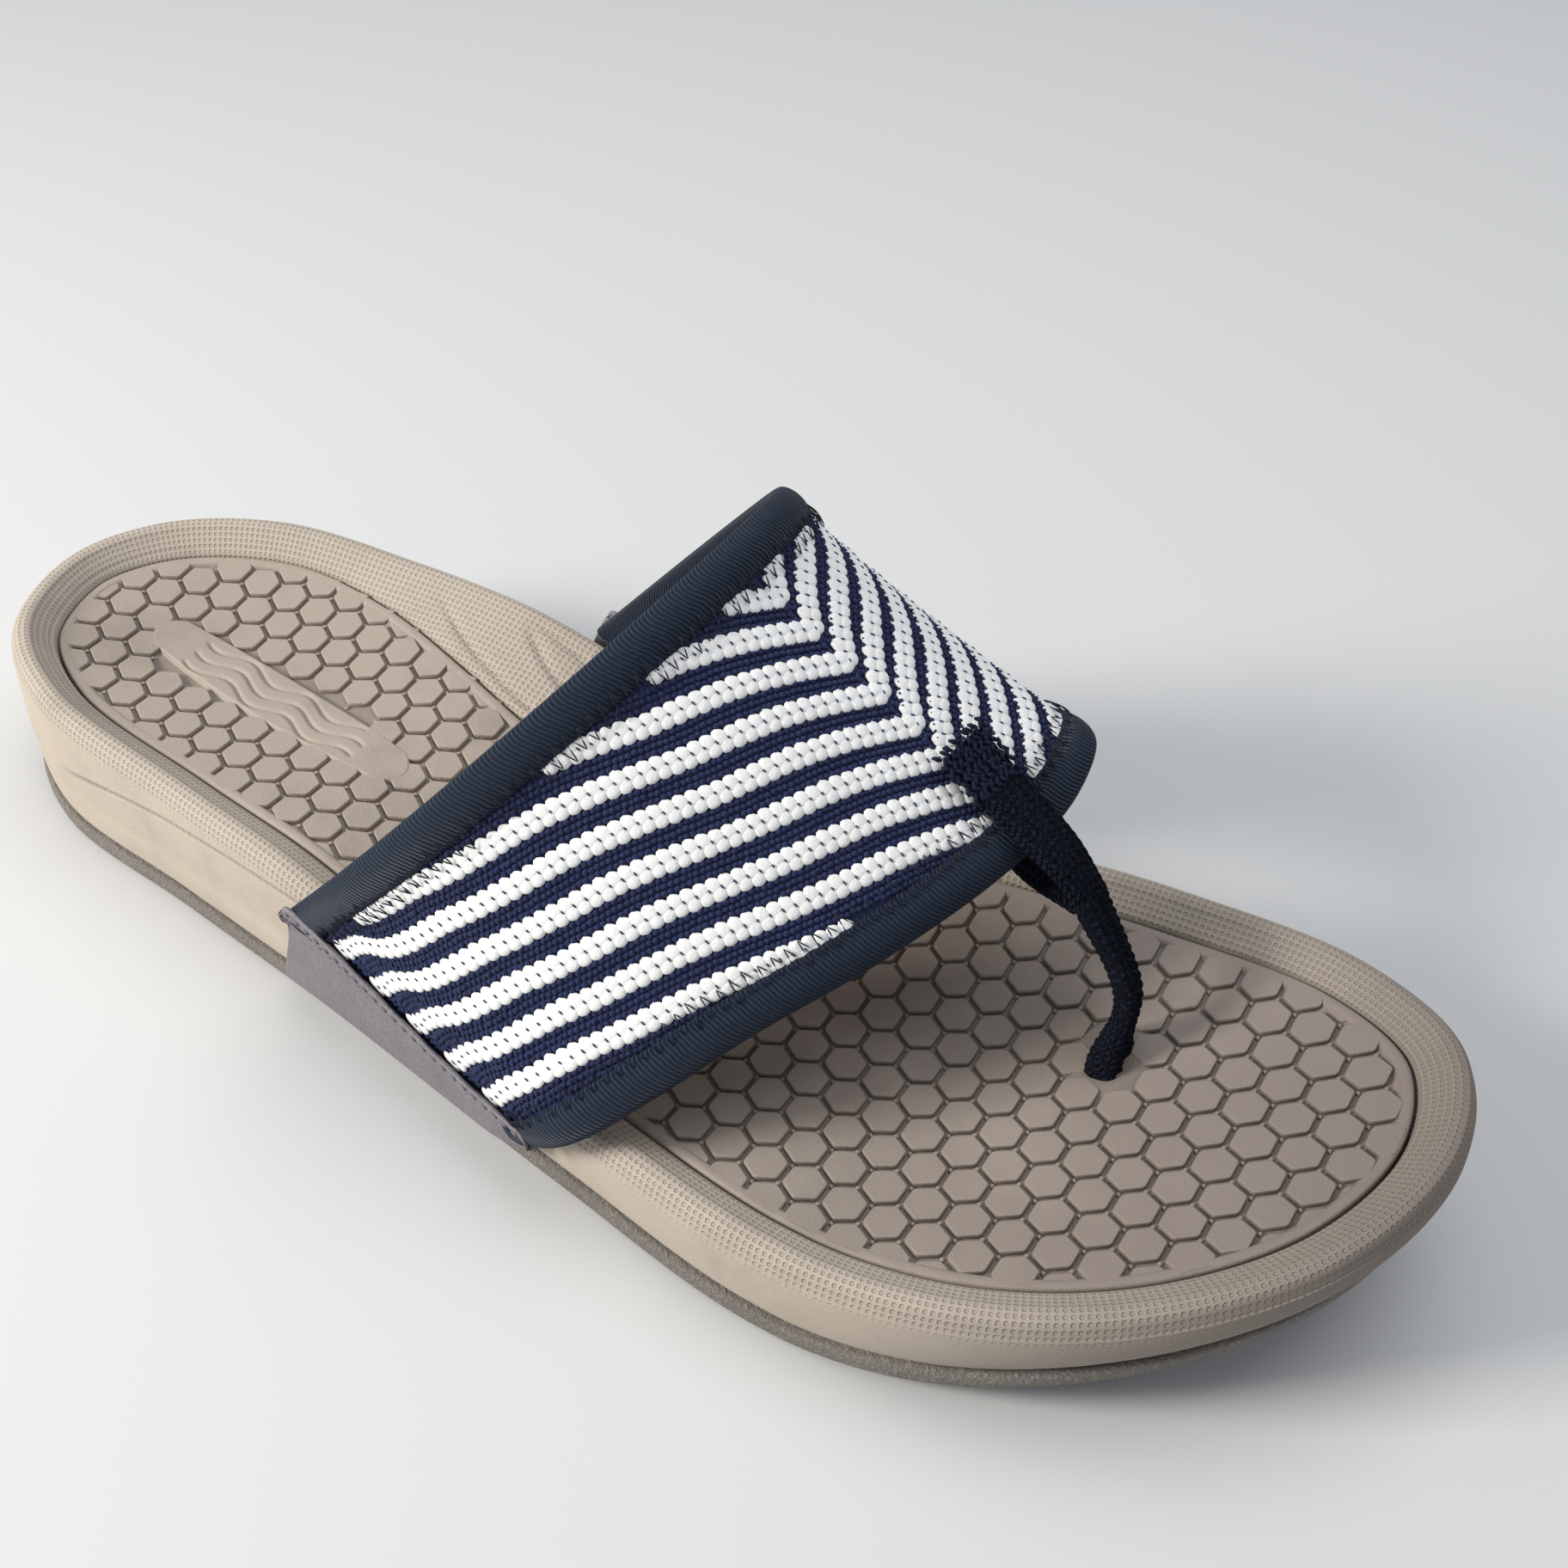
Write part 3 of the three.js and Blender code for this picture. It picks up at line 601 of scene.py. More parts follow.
rim_width = insert_margin - GAP
knots = [
    ring(1.75 + toe_tuck, foot),
    ring(1.15 + 0.95 * toe_tuck, wall_level(0, 0.3)),
    ring(0.62 + 0.8 * toe_tuck, wall_level(0, 1.3)),
    ring(0.25 + 0.35 * toe_tuck, wall_level(0.25)),
    ring(0.0, wall_level(0.48)),
    ring(0.05, wall_level(0.7)),
    ring(0.3, lowered(rim, SHOULDER)),
    ring(1.1, lowered(rim, 1.15)),
    ring(2.1, lowered(rim, 0.3)),
    ring(SHOULDER + 0.5, rim),
    ring(between(SHOULDER, rim_width, 0.35), rim_fall(0.25, -0.1)),
    ring(between(SHOULDER, rim_width, 0.7), rim_fall(0.62, -0.2)),
    ring(rim_width - 0.7, rim_fall(0.95)),
    ring(rim_width, rim_fall(1, -0.35)),
]
skin = np.ascontiguousarray(blend_rows(np.array(knots), 118))
flat = skin.reshape(-1, 3)
steepness = np.gradient(skin[:, :, 2], axis=0) / np.maximum(
    np.linalg.norm(np.gradient(skin, axis=0), axis=2), 1e-6
)
on_wall = smooth((steepness - 0.5) / 0.3).reshape(-1)

# the long line down each wall from the heel to the strap
x_here, y_here, z_here = flat.T
line_z = 23.3 - 1.36 * (x_here - 97) ** 2 / 1000
line_depth = smooth((x_here - 28) / 16) * (1 - smooth((x_here - 104) / 6))
cut = 1.7 * np.exp(-np.abs((z_here - line_z) / 0.6) ** 3)
below = 0.55 * smooth((line_z - z_here) / 0.6) * smooth((z_here - 8) / 4)
cut = (cut + below) * line_depth * on_wall
flat[:, :2] += np.tile(inward, (len(skin), 1)) * cut[:, None]

# the flowing lines on the arch
arch = (y_here > 12) & (x_here > 55) & (x_here < 172) & (on_wall < 0.5)
distance, share = near(flat[arch, :2], ARCH_LINES)
fade = smooth(share / 0.12) * smooth((1 - share) / 0.15)
flat[arch, 2] -= 0.95 * np.exp(-((distance / 0.6) ** 2)) * fade

inner_wall = [
    ring(insert_margin - 0.12, lowered(footbed, 0.9)),
    ring(insert_margin - 0.12, lowered(footbed, POCKET)),
]
rows = to_spine(knots[0], foot, 3)[::-1] + list(skin) + inner_wall
rows += to_spine(inner_wall[-1], lowered(footbed, POCKET), 6)
crest = int(np.argmax(skin[:, 100, 2])) + 3
bm = lay(rows, round_measure(np.array(rows), crest - 4))
weld(bm)
finished("foam_midsole", bm, foam, "midsole_foam", "midsole")

# %% [markdown]
# ## The footbed
# The insert is a soft moulding covered with six-sided pads on a regular triangular lattice, with a
# plain raised border. The base skin lies at the bottom of the channels, the border rises to pad
# level, and each pad is one small bevelled prism set on it.

# %% Base skin of the footbed
PITCH = 7.0          # from pad to pad
CHANNEL = 1.0        # depth of the channels between the pads
POST = np.array([LENGTH - 54.5, 10.6])
ROW = PITCH * math.sqrt(3) / 2
LATTICE = np.array([74.5 - SHIFT[0], -8.5 - SHIFT[1]])
MOTIF_CENTRE = np.array([57.0, -1.6])
MOTIF_ALONG = Vector((1, -0.08)).normalized()
MOTIF_LONG, MOTIF_WIDE = 33.0, 6.2


def motif_share(x, y):
    """0 at the middle of the smooth patch on the heel, 1 at its edge and more outside."""
    x, y = x - MOTIF_CENTRE[0], y - MOTIF_CENTRE[1]
    a = x * MOTIF_ALONG.x + y * MOTIF_ALONG.y
    b = -x * MOTIF_ALONG.y + y * MOTIF_ALONG.x
    return (np.abs(a / MOTIF_LONG) ** 4 + np.abs(b / MOTIF_WIDE) ** 4) ** 0.25


def channel_floor(x, y):
    boss = smooth((7.0 - np.hypot(x - POST[0], (y - POST[1]) * 0.8)) / 1.6)
    return footbed(x, y) - CHANNEL * (1 - boss * 0.92)


knots = [
    ring(insert_margin + 0.35, lowered(footbed, 1.4)),
    ring(insert_margin + 0.45, lowered(footbed, 0.45)),
    ring(insert_margin + 0.9, lowered(footbed, 0.08)),
    ring(insert_margin + 1.6, footbed),
    ring(insert_margin + 2.2, lowered(footbed, 0.12)),
    ring(insert_margin + 2.9, lowered(channel_floor, -0.12)),
    ring(insert_margin + 3.4, channel_floor),
]
underside = lowered(footbed, 4.0)
low = ring(insert_margin + 0.35, underside)
rows = to_spine(low, underside, 3)[::-1] + [low]
rows += list(blend_rows(np.array(knots), 16))
rows += to_spine(rows[-1], channel_floor, 26)
bm = lay(rows, round_measure(np.array(rows), 4))
weld(bm)
finished("footbed_base", bm, pad_foam, "insert_foam", "footbed_insert")

# %% One pad, and where the pads go
def pad_shape():
    """A six-sided prism with soft corners and a softer top edge, its top at height 0."""
    bm = bmesh.new()
    bmesh.ops.create_circle(bm, cap_ends=True, segments=6, radius=(PITCH - 0.95) / math.sqrt(3))
    grown = bmesh.ops.extrude_face_region(bm, geom=bm.faces[:])["geom"]
    raised = [g for g in grown if isinstance(g, bmesh.types.BMVert)]
    bmesh.ops.translate(bm, verts=raised, vec=(0, 0, 1.5))
    bmesh.ops.translate(bm, verts=bm.verts, vec=(0, 0, -1.5))
    face_out(bm)
    upright = [e for e in bm.edges if abs(e.verts[0].co.z - e.verts[1].co.z) > 1]
    soften = dict(affect="EDGES", profile=0.5, material=-1)
    bmesh.ops.bevel(bm, geom=upright, offset=0.4, segments=2, **soften)
    rim_edges = [e for e in bm.edges if min(v.co.z for v in e.verts) > -0.01]
    bmesh.ops.bevel(bm, geom=rim_edges, offset=0.2, segments=2, **soften)
    return bm


insert_edge = loop + inward * (insert_margin + 1.0)[:, None]
centres = []
for j in range(-9, 9):
    for i in range(-40, 20):
        centres.append(LATTICE + np.array([PITCH * (i + 0.5 * j), -ROW * j]))
centres = np.array(centres)
gaps = np.linalg.norm(centres[:, None] - insert_edge[None], axis=2)
closest = gaps.argmin(axis=1)
depth_in = ((centres - insert_edge[closest]) * inward[closest]).sum(axis=1)
kept = []
for centre, nearest, depth in zip(centres, closest, depth_in):
    on_motif = motif_share(*centre) < 0.92
    at_post = np.hypot(centre[0] - POST[0], (centre[1] - POST[1]) * 0.9) < 4.4
    if depth > -1.6 and not on_motif and not at_post:
        kept.append((centre, nearest, depth))
print("pads:", len(kept))

# %% Set the pads
shape = pad_shape()
bm = bmesh.new()
for centre, nearest, depth in kept:
    part = shape.copy()
    bmesh.ops.translate(part, verts=part.verts, vec=(*centre, 0))
    if depth < 4.2:
        bmesh.ops.bisect_plane(
            part, geom=part.verts[:] + part.edges[:] + part.faces[:],
            plane_co=(*insert_edge[nearest], 0), plane_no=(*-inward[nearest], 0),
            clear_outer=True,
        )
        bmesh.ops.holes_fill(part, edges=[e for e in part.edges if e.is_boundary])
        sunk = 0.5 * smooth((1.5 - depth) / 4)
        bmesh.ops.translate(part, verts=part.verts, vec=(0, 0, -sunk))
    join(bm, part)
shape.free()
points = np.array([v.co for v in bm.verts])
for vert, level in zip(bm.verts, footbed(points[:, 0], points[:, 1])):
    vert.co.z += level
finished("footbed_pads", bm, pad_foam, "insert_foam", flat_above=9)

# %% Small beads where three pads meet
BEAD = (0.5, 0.5, 0.72)
bm = bmesh.new()
for centre, nearest, _ in kept:
    for end in (-1, 1):
        spot = centre + np.array([0, end * PITCH / math.sqrt(3)])
        room = ((spot - insert_edge[nearest]) * inward[nearest]).sum()
        clear_of_post = np.hypot(*(spot - POST)) > 7.5
        if room > 2.6 and clear_of_post and motif_share(*spot) > 1.05:
            place = Matrix.Translation((*spot, float(footbed(*spot)) - CHANNEL))
            place = place @ Matrix.Diagonal((*BEAD, 1))
            bmesh.ops.create_icosphere(bm, subdivisions=1, radius=1.0, matrix=place)
finished("footbed_beads", bm, pad_foam, "insert_foam")

# %% [markdown]
# ## A plain motif on the heel
# The smooth patch on the heel carries three pressed wave lines. It is a small sheet of its own,
# fine enough to hold the lines as real grooves.

# %% Motif patch
side_a, side_b = np.meshgrid(np.linspace(-1, 1, 190), np.linspace(-1, 1, 50))
round_a = side_a * np.sqrt(1 - side_b**2 / 2 * 0.55) * MOTIF_LONG
round_b = side_b * np.sqrt(1 - side_a**2 / 2 * 0.9) * MOTIF_WIDE
patch_x = MOTIF_CENTRE[0] + round_a * MOTIF_ALONG.x - round_b * MOTIF_ALONG.y
patch_y = MOTIF_CENTRE[1] + round_a * MOTIF_ALONG.y + round_b * MOTIF_ALONG.x
edge_in = np.minimum((1 - np.abs(side_a)) * MOTIF_LONG, (1 - np.abs(side_b)) * MOTIF_WIDE)
patch_z = footbed(patch_x, patch_y) + 0.04 - 1.3 * (1 - smooth(edge_in / 1.1))
for row in (-1, 0, 1):
    crest = 3.1 * row + 1.1 * np.sin(round_a * 2 * math.pi / 15)
    length_fade = smooth((22 - np.abs(round_a)) / 1.5)
    patch_z -= 0.6 * np.exp(-(((round_b - crest) / 0.38) ** 2)) * length_fade
bm = lay(np.stack([patch_x, patch_y, patch_z], axis=2), np.zeros((*patch_x.shape, 2)))
bmesh.ops.solidify(bm, geom=bm.faces[:], thickness=0.7)
bmesh.ops.recalc_face_normals(bm, faces=bm.faces)
finished("heel_motif", bm, pad_foam, "insert_foam")

# %% [markdown]
# ## The strap as a surface
# The strap is a band between two arches: one at its rear edge, one at its front edge. Every point
# of it has two shares, u from the outer to the inner side and v from the rear to the front. All
# that is sewn on it, from stitches to tape, is placed by u, v and a height off the surface.

# %% The two arches
LAYER_LOW = -2.1     # underside of the folded tape, from the middle of the strap
STAND_OFF = GAP - LAYER_LOW
TAB_ENDS = {-1: ((178, -0.5), (124, 4.0)), 1: ((176, 0.5), (112, 1.5))}


def tab_top(side, x):
    (rear_back, rear_low), (front_back, front_low) = TAB_ENDS[side]
    rear_x, front_x = LENGTH - rear_back, LENGTH - front_back
    below = between(rear_low, front_low, np.clip((x - rear_x) / (front_x - rear_x), 0, 1))
    return rim(x, wall_y(x, side)) - SHOULDER / 2 - below


def strap_foot(side, share):
    """Where the strap starts at the side, from its rear edge (0) to its front edge (1)."""
    (rear_back, _), (front_back, _) = TAB_ENDS[side]
    x = between(LENGTH - rear_back, LENGTH - front_back, share)
    return np.stack([x, wall_y(x, side) + side * STAND_OFF, tab_top(side, x) + 2 * GAP], axis=-1)


def arch(share, shape, height, lean):
    start, end = strap_foot(-1, share), strap_foot(1, share)
    points = [start]
    for across, rise, pull in shape:
        points.append(between(start, end, across) + [lean * height * rise + pull, 0, height * rise])
    return evenly(through(points + [end], False, 1200), 240)


rear_arch = arch(0.0, [
    (-0.01, 0.36, 0), (0.07, 0.61, 0), (0.27, 0.84, 0), (0.6, 0.99, 0),
    (0.84, 0.98, 0), (0.97, 0.84, 0), (1.03, 0.4, 0),
], 54, 0.84)
front_arch = arch(1.0, [
    (-0.005, 0.24, 0), (0.09, 0.43, 0), (0.22, 0.62, 0), (0.42, 0.78, 3.5),
    (0.66, 0.88, 6), (0.82, 0.96, 4), (0.94, 0.97, 0), (1.01, 0.66, 0),
], 32, 1.16)


def on_arch(points, u):
    at = np.clip(u, 0, 1) * (len(points) - 1)
    return np.stack([np.interp(at, np.arange(len(points)), axis) for axis in points.T], axis=-1)


def strap_flat(u, v):
    u, v = np.broadcast_arrays(np.asarray(u, float), np.asarray(v, float))
    spot = between(on_arch(rear_arch, u), on_arch(front_arch, u), v[..., None])
    for side, close in ((-1, 1 - u * 6), (1, 1 - (1 - u) * 6)):
        straight = between(strap_foot(side, 0.0), strap_foot(side, 1.0), v[..., None])
        spot = spot + (strap_foot(side, v) - straight) * smooth(close)[..., None]
    return spot


def strap_normal(u, v):
    u, v = np.broadcast_arrays(np.asarray(u, float), np.asarray(v, float))
    across = strap_flat(np.minimum(u + 0.01, 1), v) - strap_flat(np.maximum(u - 0.01, 0), v)
    along = strap_flat(u, 1.0) - strap_flat(u, 0.0)
    return unit(np.cross(along, across))


def strap(u, v, height=0.0):
    return strap_flat(u, v) + strap_normal(u, v) * np.asarray(height, float)[..., None]


widths = np.linalg.norm(front_arch - rear_arch, axis=1)
strap_u = np.linspace(0, 1, len(widths))
front_run = unit(np.gradient(front_arch, axis=0))
square = np.linalg.norm(np.cross(front_run, (front_arch - rear_arch) / widths[:, None]), axis=1)


def mitre_u(points, y):
    """The u at which an arch crosses the line of the mitre."""
    above = next(i for i in range(len(points) * 3 // 10, len(points)) if points[i, 1] > y)
    share = (y - points[above - 1, 1]) / (points[above, 1] - points[above - 1, 1])
    return (above - 1 + share) / (len(points) - 1)


MITRE = (mitre_u(rear_arch, 14.5), mitre_u(front_arch, 18.5))
print("strap width", widths.min().round(1), "to", widths.max().round(1))
print("mitre at u", np.round(MITRE, 3))

# %% [markdown]
# ## Finishes for cloth
# Yarn is matt with a soft sheen, and shows its fibres as fine grain. The folded tape is a ribbed
# satin, so its ribs follow the tape's own map. The lining is a plain tan weave.

# %% Yarns and cloths
def yarn(name, pale, deep, sheen, depth=0.00012):
    made = Finish(name, pale, 0.85, Sheen_Weight=sheen, Sheen_Roughness=0.45,
                  Specular_IOR_Level=0.25)
    strand = made.noise(1500.0, 3.0, 0.7)
    patch = made.noise(160.0, 3.0)
    made.put("Base Color", made.mix(strand * 0.6 + patch * 0.4, deep, pale))
    made.put("Roughness", 0.75 + strand * 0.2)
    made.relief(strand, depth)
    made.put("Specular IOR Level", 0.2)
    return made


white_yarn = yarn("white_yarn", (0.93, 0.925, 0.9), (0.72, 0.715, 0.69), 0.15)
navy_yarn = yarn("navy_yarn", (0.026, 0.036, 0.105), (0.009, 0.014, 0.048), 0.12)
post_yarn = yarn("post_yarn", (0.010, 0.0135, 0.030), (0.003, 0.0045, 0.012), 0.0)
dark_thread = yarn("dark_thread", (0.012, 0.016, 0.035), (0.005, 0.007, 0.016), 0.1)
grey_thread = yarn("grey_thread", (0.2, 0.195, 0.205), (0.12, 0.115, 0.125), 0.1)

lining_cloth = Finish("lining_cloth", (0.38, 0.27, 0.19), 0.9, Sheen_Weight=0.2)
u, v = lining_cloth.sheet_place()
weave = u.wave(0.9) * v.wave(0.9) + (u + 0.45).wave(0.9) * (v + 0.45).wave(0.9)
patch = lining_cloth.noise(90.0, 4.0)
tone = lining_cloth.mix(patch, (0.40, 0.285, 0.2), (0.33, 0.235, 0.165))
lining_cloth.put("Base Color", lining_cloth.mix(weave.above(0.35, 0.3), (0.2, 0.14, 0.1), tone))
lining_cloth.relief(weave, 0.00016)

satin = Finish("ribbed_satin", (0.03, 0.05, 0.08), 0.55, Sheen_Weight=0.08, Sheen_Roughness=0.35)
u, v = satin.sheet_place()
slub = satin.noise(700.0, 3.0)
rib = (u + v * 0.12 + satin.noise(260.0, 2.0) * 0.5).wave(0.78)
tone = satin.mix(rib, (0.003, 0.006, 0.014), (0.021, 0.036, 0.064))
satin.put("Base Color", satin.mix(slub * 0.3, tone, (0.012, 0.02, 0.038)))
satin.put("Roughness", 0.62 + slub * 0.22)
satin.put("Specular IOR Level", 0.22)
satin.relief(rib * 0.8 + slub * 0.4, 0.0004)

u, v = post_yarn.sheet_place()
chevron = (v + u.wave(2.6) * 1.3).wave(1.25)
tone = post_yarn.mix(chevron, (0.0006, 0.0009, 0.0025), (0.0085, 0.012, 0.028))
post_yarn.put("Base Color", tone)
post_yarn.put("Specular IOR Level", 0.15)
post_yarn.relief(chevron + post_yarn.noise(1500.0, 3.0, 0.7) * 0.3, 0.0005)

leather = Finish("tab_leather", (0.15, 0.14, 0.16), 0.5, Specular_IOR_Level=0.45)
cells = leather.add("ShaderNodeTexVoronoi", None, {"Vector": leather.place(), "Scale": 1500.0})
crease = leather.noise(120.0, 5.0, 0.6)
tone = leather.mix(crease, (0.235, 0.212, 0.23), (0.15, 0.137, 0.152))
leather.put("Base Color", leather.mix(cells.above(0.5, 0.3) * 0.4, tone, (0.1, 0.093, 0.105)))
leather.put("Roughness", 0.42 + crease * 0.25)
leather.relief(crease * 0.8 - cells * 0.25, 0.00022)
print("cloth finishes are ready")

# %% [markdown]
# ## Where the knit rows run
# The strap is two pieces of one striped knit, mitred so that the stripes meet in a chevron. A row
# is known by its distance from the front edge: on the outer half it drifts slowly forward, with a
# small turn at the tab and another near the mitre, and on the inner half it turns back.

# %% Rows of the chevron
ROW_PITCH = 7.1
FIRST_CORNER = 4.4


def corner(k):
    """Distance from the front edge where row k turns, and the u of that point."""
    distance = FIRST_CORNER + ROW_PITCH * k
    share = 1 - distance / 66.0
    return distance, between(MITRE[0], MITRE[1], share)


def outer_distance(k, u):
    """From the front edge to row k: nearly straight, turned a little at the tab and the mitre."""
    at_corner, corner_u = corner(k)

    def drift(u):
        return 20.9 - 21 * u + 7.0 * k

    tab_turn = np.minimum(3.6, 6.5 * np.clip(1 - u / 0.12, 0, 1) ** 2)
    miss = drift(corner_u) - at_corner
    return drift(u) - tab_turn - miss * np.clip((u - corner_u + 0.118) / 0.118, 0, 1) ** 2


def inner_distance(k, u):
    """The same past the mitre, where the rows turn back quickly and then run straight."""
    at_corner, corner_u = corner(k)
    beyond = u - corner_u
    return at_corner + 8.0 * (1 - np.exp(-beyond / 0.035)) + 80 * beyond


DISTANCE = {-1: outer_distance, 1: inner_distance}


def reach(u):
    """The strap's width at u, square to its front edge."""
    return np.interp(u, strap_u, square * widths)


def stations_on(k, side, pitch, start, clear):
    """u, v at each stitch of row k, from the mitre on, clear of the edges by some millimetres."""
    u = np.linspace(corner(k)[1], 0.5 + 0.488 * side, 500)
    v = 1 - DISTANCE[side](k, u) / reach(u)
    run = travel(strap(u, np.clip(v, -0.2, 1.2)))
    wanted = np.arange(start, run[-1], pitch)
    u, v = np.interp(wanted, run, u), np.interp(wanted, run, v)
    inside_edge = np.minimum(v, 1 - v) * np.interp(u, strap_u, widths)
    return u[inside_edge > clear], v[inside_edge > clear]


# %% Frames on the strap
def frames_at(u, v, k, side):
    """Position, direction along the row, direction towards the front, and normal."""
    step = 0.004
    change = DISTANCE[side](k, u + step) - DISTANCE[side](k, u - step)
    shift = change / 2 / reach(u)
    run = unit(strap(u + step, v - shift) - strap(u - step, v + shift))
    up = strap_normal(u, v)
    front = unit(np.cross(run, up))
    toe = strap_flat(u, 1.0) - strap_flat(u, 0.0)
    front *= np.sign((front * toe).sum(axis=1))[:, None]
    return strap(u, v), run, front, up


# %% [markdown]
# ## Sewing many small shapes
# A stitch is one rounded drop of yarn. It is shaped once from a small sphere, and a copy is laid at
# each place with its own direction. A few dozen faces are enough for a stitch of two millimetres.

# %% Copies of one shape
def drop_shape(taper, squash, detail):
    """A sphere drawn out along x, thicker at its +x end by taper."""
    bm = bmesh.new()
    bmesh.ops.create_icosphere(bm, subdivisions=detail, radius=1.0)
    for vert in bm.verts:
        swell = 1 + taper * vert.co.x
        vert.co.y *= swell
        vert.co.z *= squash * swell
    return bm


def sew(bm, shape, places):
    """Adds a copy of the shape for each (middle, axis, side, normal, length, width, height)."""
    stamp = bpy.data.meshes.new("stamp")
    shape.to_mesh(stamp)
    rest = np.empty(len(stamp.vertices) * 3, np.float32)
    stamp.vertices.foreach_get("co", rest)
    rest = rest.reshape(-1, 3).astype(float)
    for centre, axis, side, up, long, wide, thick in places:
        turned = centre + (
            rest[:, :1] * long * axis + rest[:, 1:2] * wide * side + rest[:, 2:] * thick * up
        )
        stamp.vertices.foreach_set("co", turned.astype(np.float32).ravel())
        bm.from_mesh(stamp)
    bpy.data.meshes.remove(stamp)


STITCH = 2.02        # from one white drop to the next
WHITE_CLEAR, NAVY_CLEAR = 5.9, 5.5
ROWS = range(-7, 10)
random.seed(7)


def jitter(size):
    return 1 + random.uniform(-size, size)


# %% White rows of long drops
lobe, tooth, slit = drop_shape(0.12, 1.0, 2), drop_shape(-0.3, 1.0, 2), drop_shape(0.0, 1.0, 1)


def underlay(spots, fronts, ups, half):
    """A thin closed strip of yarn under a row, so no cloth shows between its stitches."""
    base, crown = 0.9, 1.44
    section = [(-half, base), (-half * 0.8, crown), (half * 0.8, crown), (half, base),
               (0, base - 0.05), (-half, base)]
    rows = [[spot + front * a + up * h for a, h in section]
            for spot, front, up in zip(spots, fronts, ups)]
    ends = [np.mean(rows[0][:-1], axis=0), np.mean(rows[-1][:-1], axis=0)]
    bm = lay([[ends[0]] * len(section)] + rows + [[ends[1]] * len(section)])
    weld(bm, 1e-3)
    return bm


def white_rows(side, slits):
    bm = bmesh.new()
    for k in ROWS:
        u, v = stations_on(k, side, STITCH, STITCH * 0.3, WHITE_CLEAR)
        if not len(u):
            continue
        spots, runs, fronts, ups = frames_at(u, v, k, side)
        lean = 0.3 if side < 0 else -0.3
        near_side = smooth((u - 0.02) / 0.05) if side < 0 else smooth((0.98 - u) / 0.05)
        places_front, places_back = [], []
        for spot, run, front, up, open_up in zip(spots, runs, fronts, ups, near_side):
            wide = between(1.15, 1.42, open_up) * jitter(0.04)
            axis = unit(front + run * lean)
            cross = np.cross(up, axis)
            low_end = spot + axis * 0.74 + up * 1.27
            long = 1.32 * jitter(0.06)
            places_front.append((low_end, axis, cross, up, long, wide * 0.94, 0.38))
            high_end = spot - axis * 0.66 + up * 1.25
            long = 1.5 * jitter(0.08)
            places_back.append((high_end, -axis, cross, up, long, wide, 0.35))
            gap_spot = spot + run * STITCH * 0.5 + up * 1.6
            slits.append((gap_spot, axis, cross, up, 0.45 * jitter(0.2), 0.15, 0.12))
        sew(bm, lobe, places_front)
        sew(bm, tooth, places_back)
        if len(u) > 2:
            join(bm, underlay(spots, fronts, ups, 1.45))
    face_out(bm)
    return bm


# %% Navy rows of small purls
purl = drop_shape(0.0, 1.0, 1)


def navy_rows(side):
    bm = bmesh.new()
    for k in ROWS:
        for line, offset in enumerate((-1.05, 0.0, 1.05)):
            start = STITCH * (0.2 + 0.25 * (line % 2))
            u, v = stations_on(k + 0.5, side, STITCH / 2, start, NAVY_CLEAR)
            if not len(u):
                continue
            spots, runs, fronts, ups = frames_at(u, v, k + 0.5, side)
            places = []
            for spot, run, front, up in zip(spots, runs, fronts, ups):
                swing = run * random.uniform(-0.1, 0.1)
                swing = swing + front * (offset + random.uniform(-0.1, 0.1))
                axis = unit(run + front * random.uniform(-0.5, 0.5))
                centre = spot + swing + up * (1.02 + random.uniform(-0.08, 0.1))
                long = 0.6 * jitter(0.1)
                places.append((centre, axis, np.cross(up, axis), up, long, 0.55, 0.5))
            sew(bm, purl, places)
    face_out(bm)
    return bm


# %% The cloth under the stitches
def mitre_line(v):
    return between(MITRE[0], MITRE[1], v)


def band(u_from, u_to, top, thick, steps, rows_across):
    """A thin closed sheet on the strap from one side to another, its top at a height."""
    v = np.linspace(0.01, 0.99, rows_across + 1)[:, None]
    share = np.linspace(0, 1, steps + 1)[None]
    bm = lay(strap(between(u_from(v), u_to(v), share), v, top))
    inside = between(u_from(0.5), u_to(0.5), 0.5)
    return thicken(bm, strap(inside, 0.5, top), strap_normal(inside, 0.5), thick)


SEAM = 0.0003        # half the gap at the mitre, as a share of the strap's length
KNIT = dict(top=0.95, thick=0.65, rows_across=44)
outer_side_u, inner_side_u = (lambda v: 0 * v), (lambda v: 0 * v + 1)
outer_knit = finished(
    "knit_outer", band(outer_side_u, lambda v: mitre_line(v) - SEAM, steps=90, **KNIT),
    navy_yarn, "striped_knit", "strap_panel_lateral",
)
inner_knit = finished(
    "knit_inner", band(lambda v: mitre_line(v) + SEAM, inner_side_u, steps=70, **KNIT),
    navy_yarn, "striped_knit", "strap_panel_medial",
)
for side, name in ((-1, "outer"), (1, "inner")):
    slits = []
    white = finished("white_rows_" + name, white_rows(side, slits), white_yarn, "striped_knit")
    bm = bmesh.new()
    sew(bm, slit, slits)
    slit_piece = finished("row_slits_" + name, bm, navy_yarn, "striped_knit")
    navy = finished("navy_rows_" + name, navy_rows(side), navy_yarn, "striped_knit")

# %% [markdown]
# ## The lining
# A smooth textile against the foot, one piece under both knit panels.

# %% Lining
lining = finished(
    "textile_lining", band(outer_side_u, inner_side_u, -0.28, 0.7, 120, 24),
    lining_cloth, "lining_textile", "strap_lining",
)

# %% [markdown]
# ## Folded tape along the edges
# The raw edges are bound with ribbed tape folded over them. Its section is a soft U, puffed between
# the fold and its stitching, and carried along each edge of the strap. The cover stitch is a dark
# zigzag that steps off the tape onto the knit.

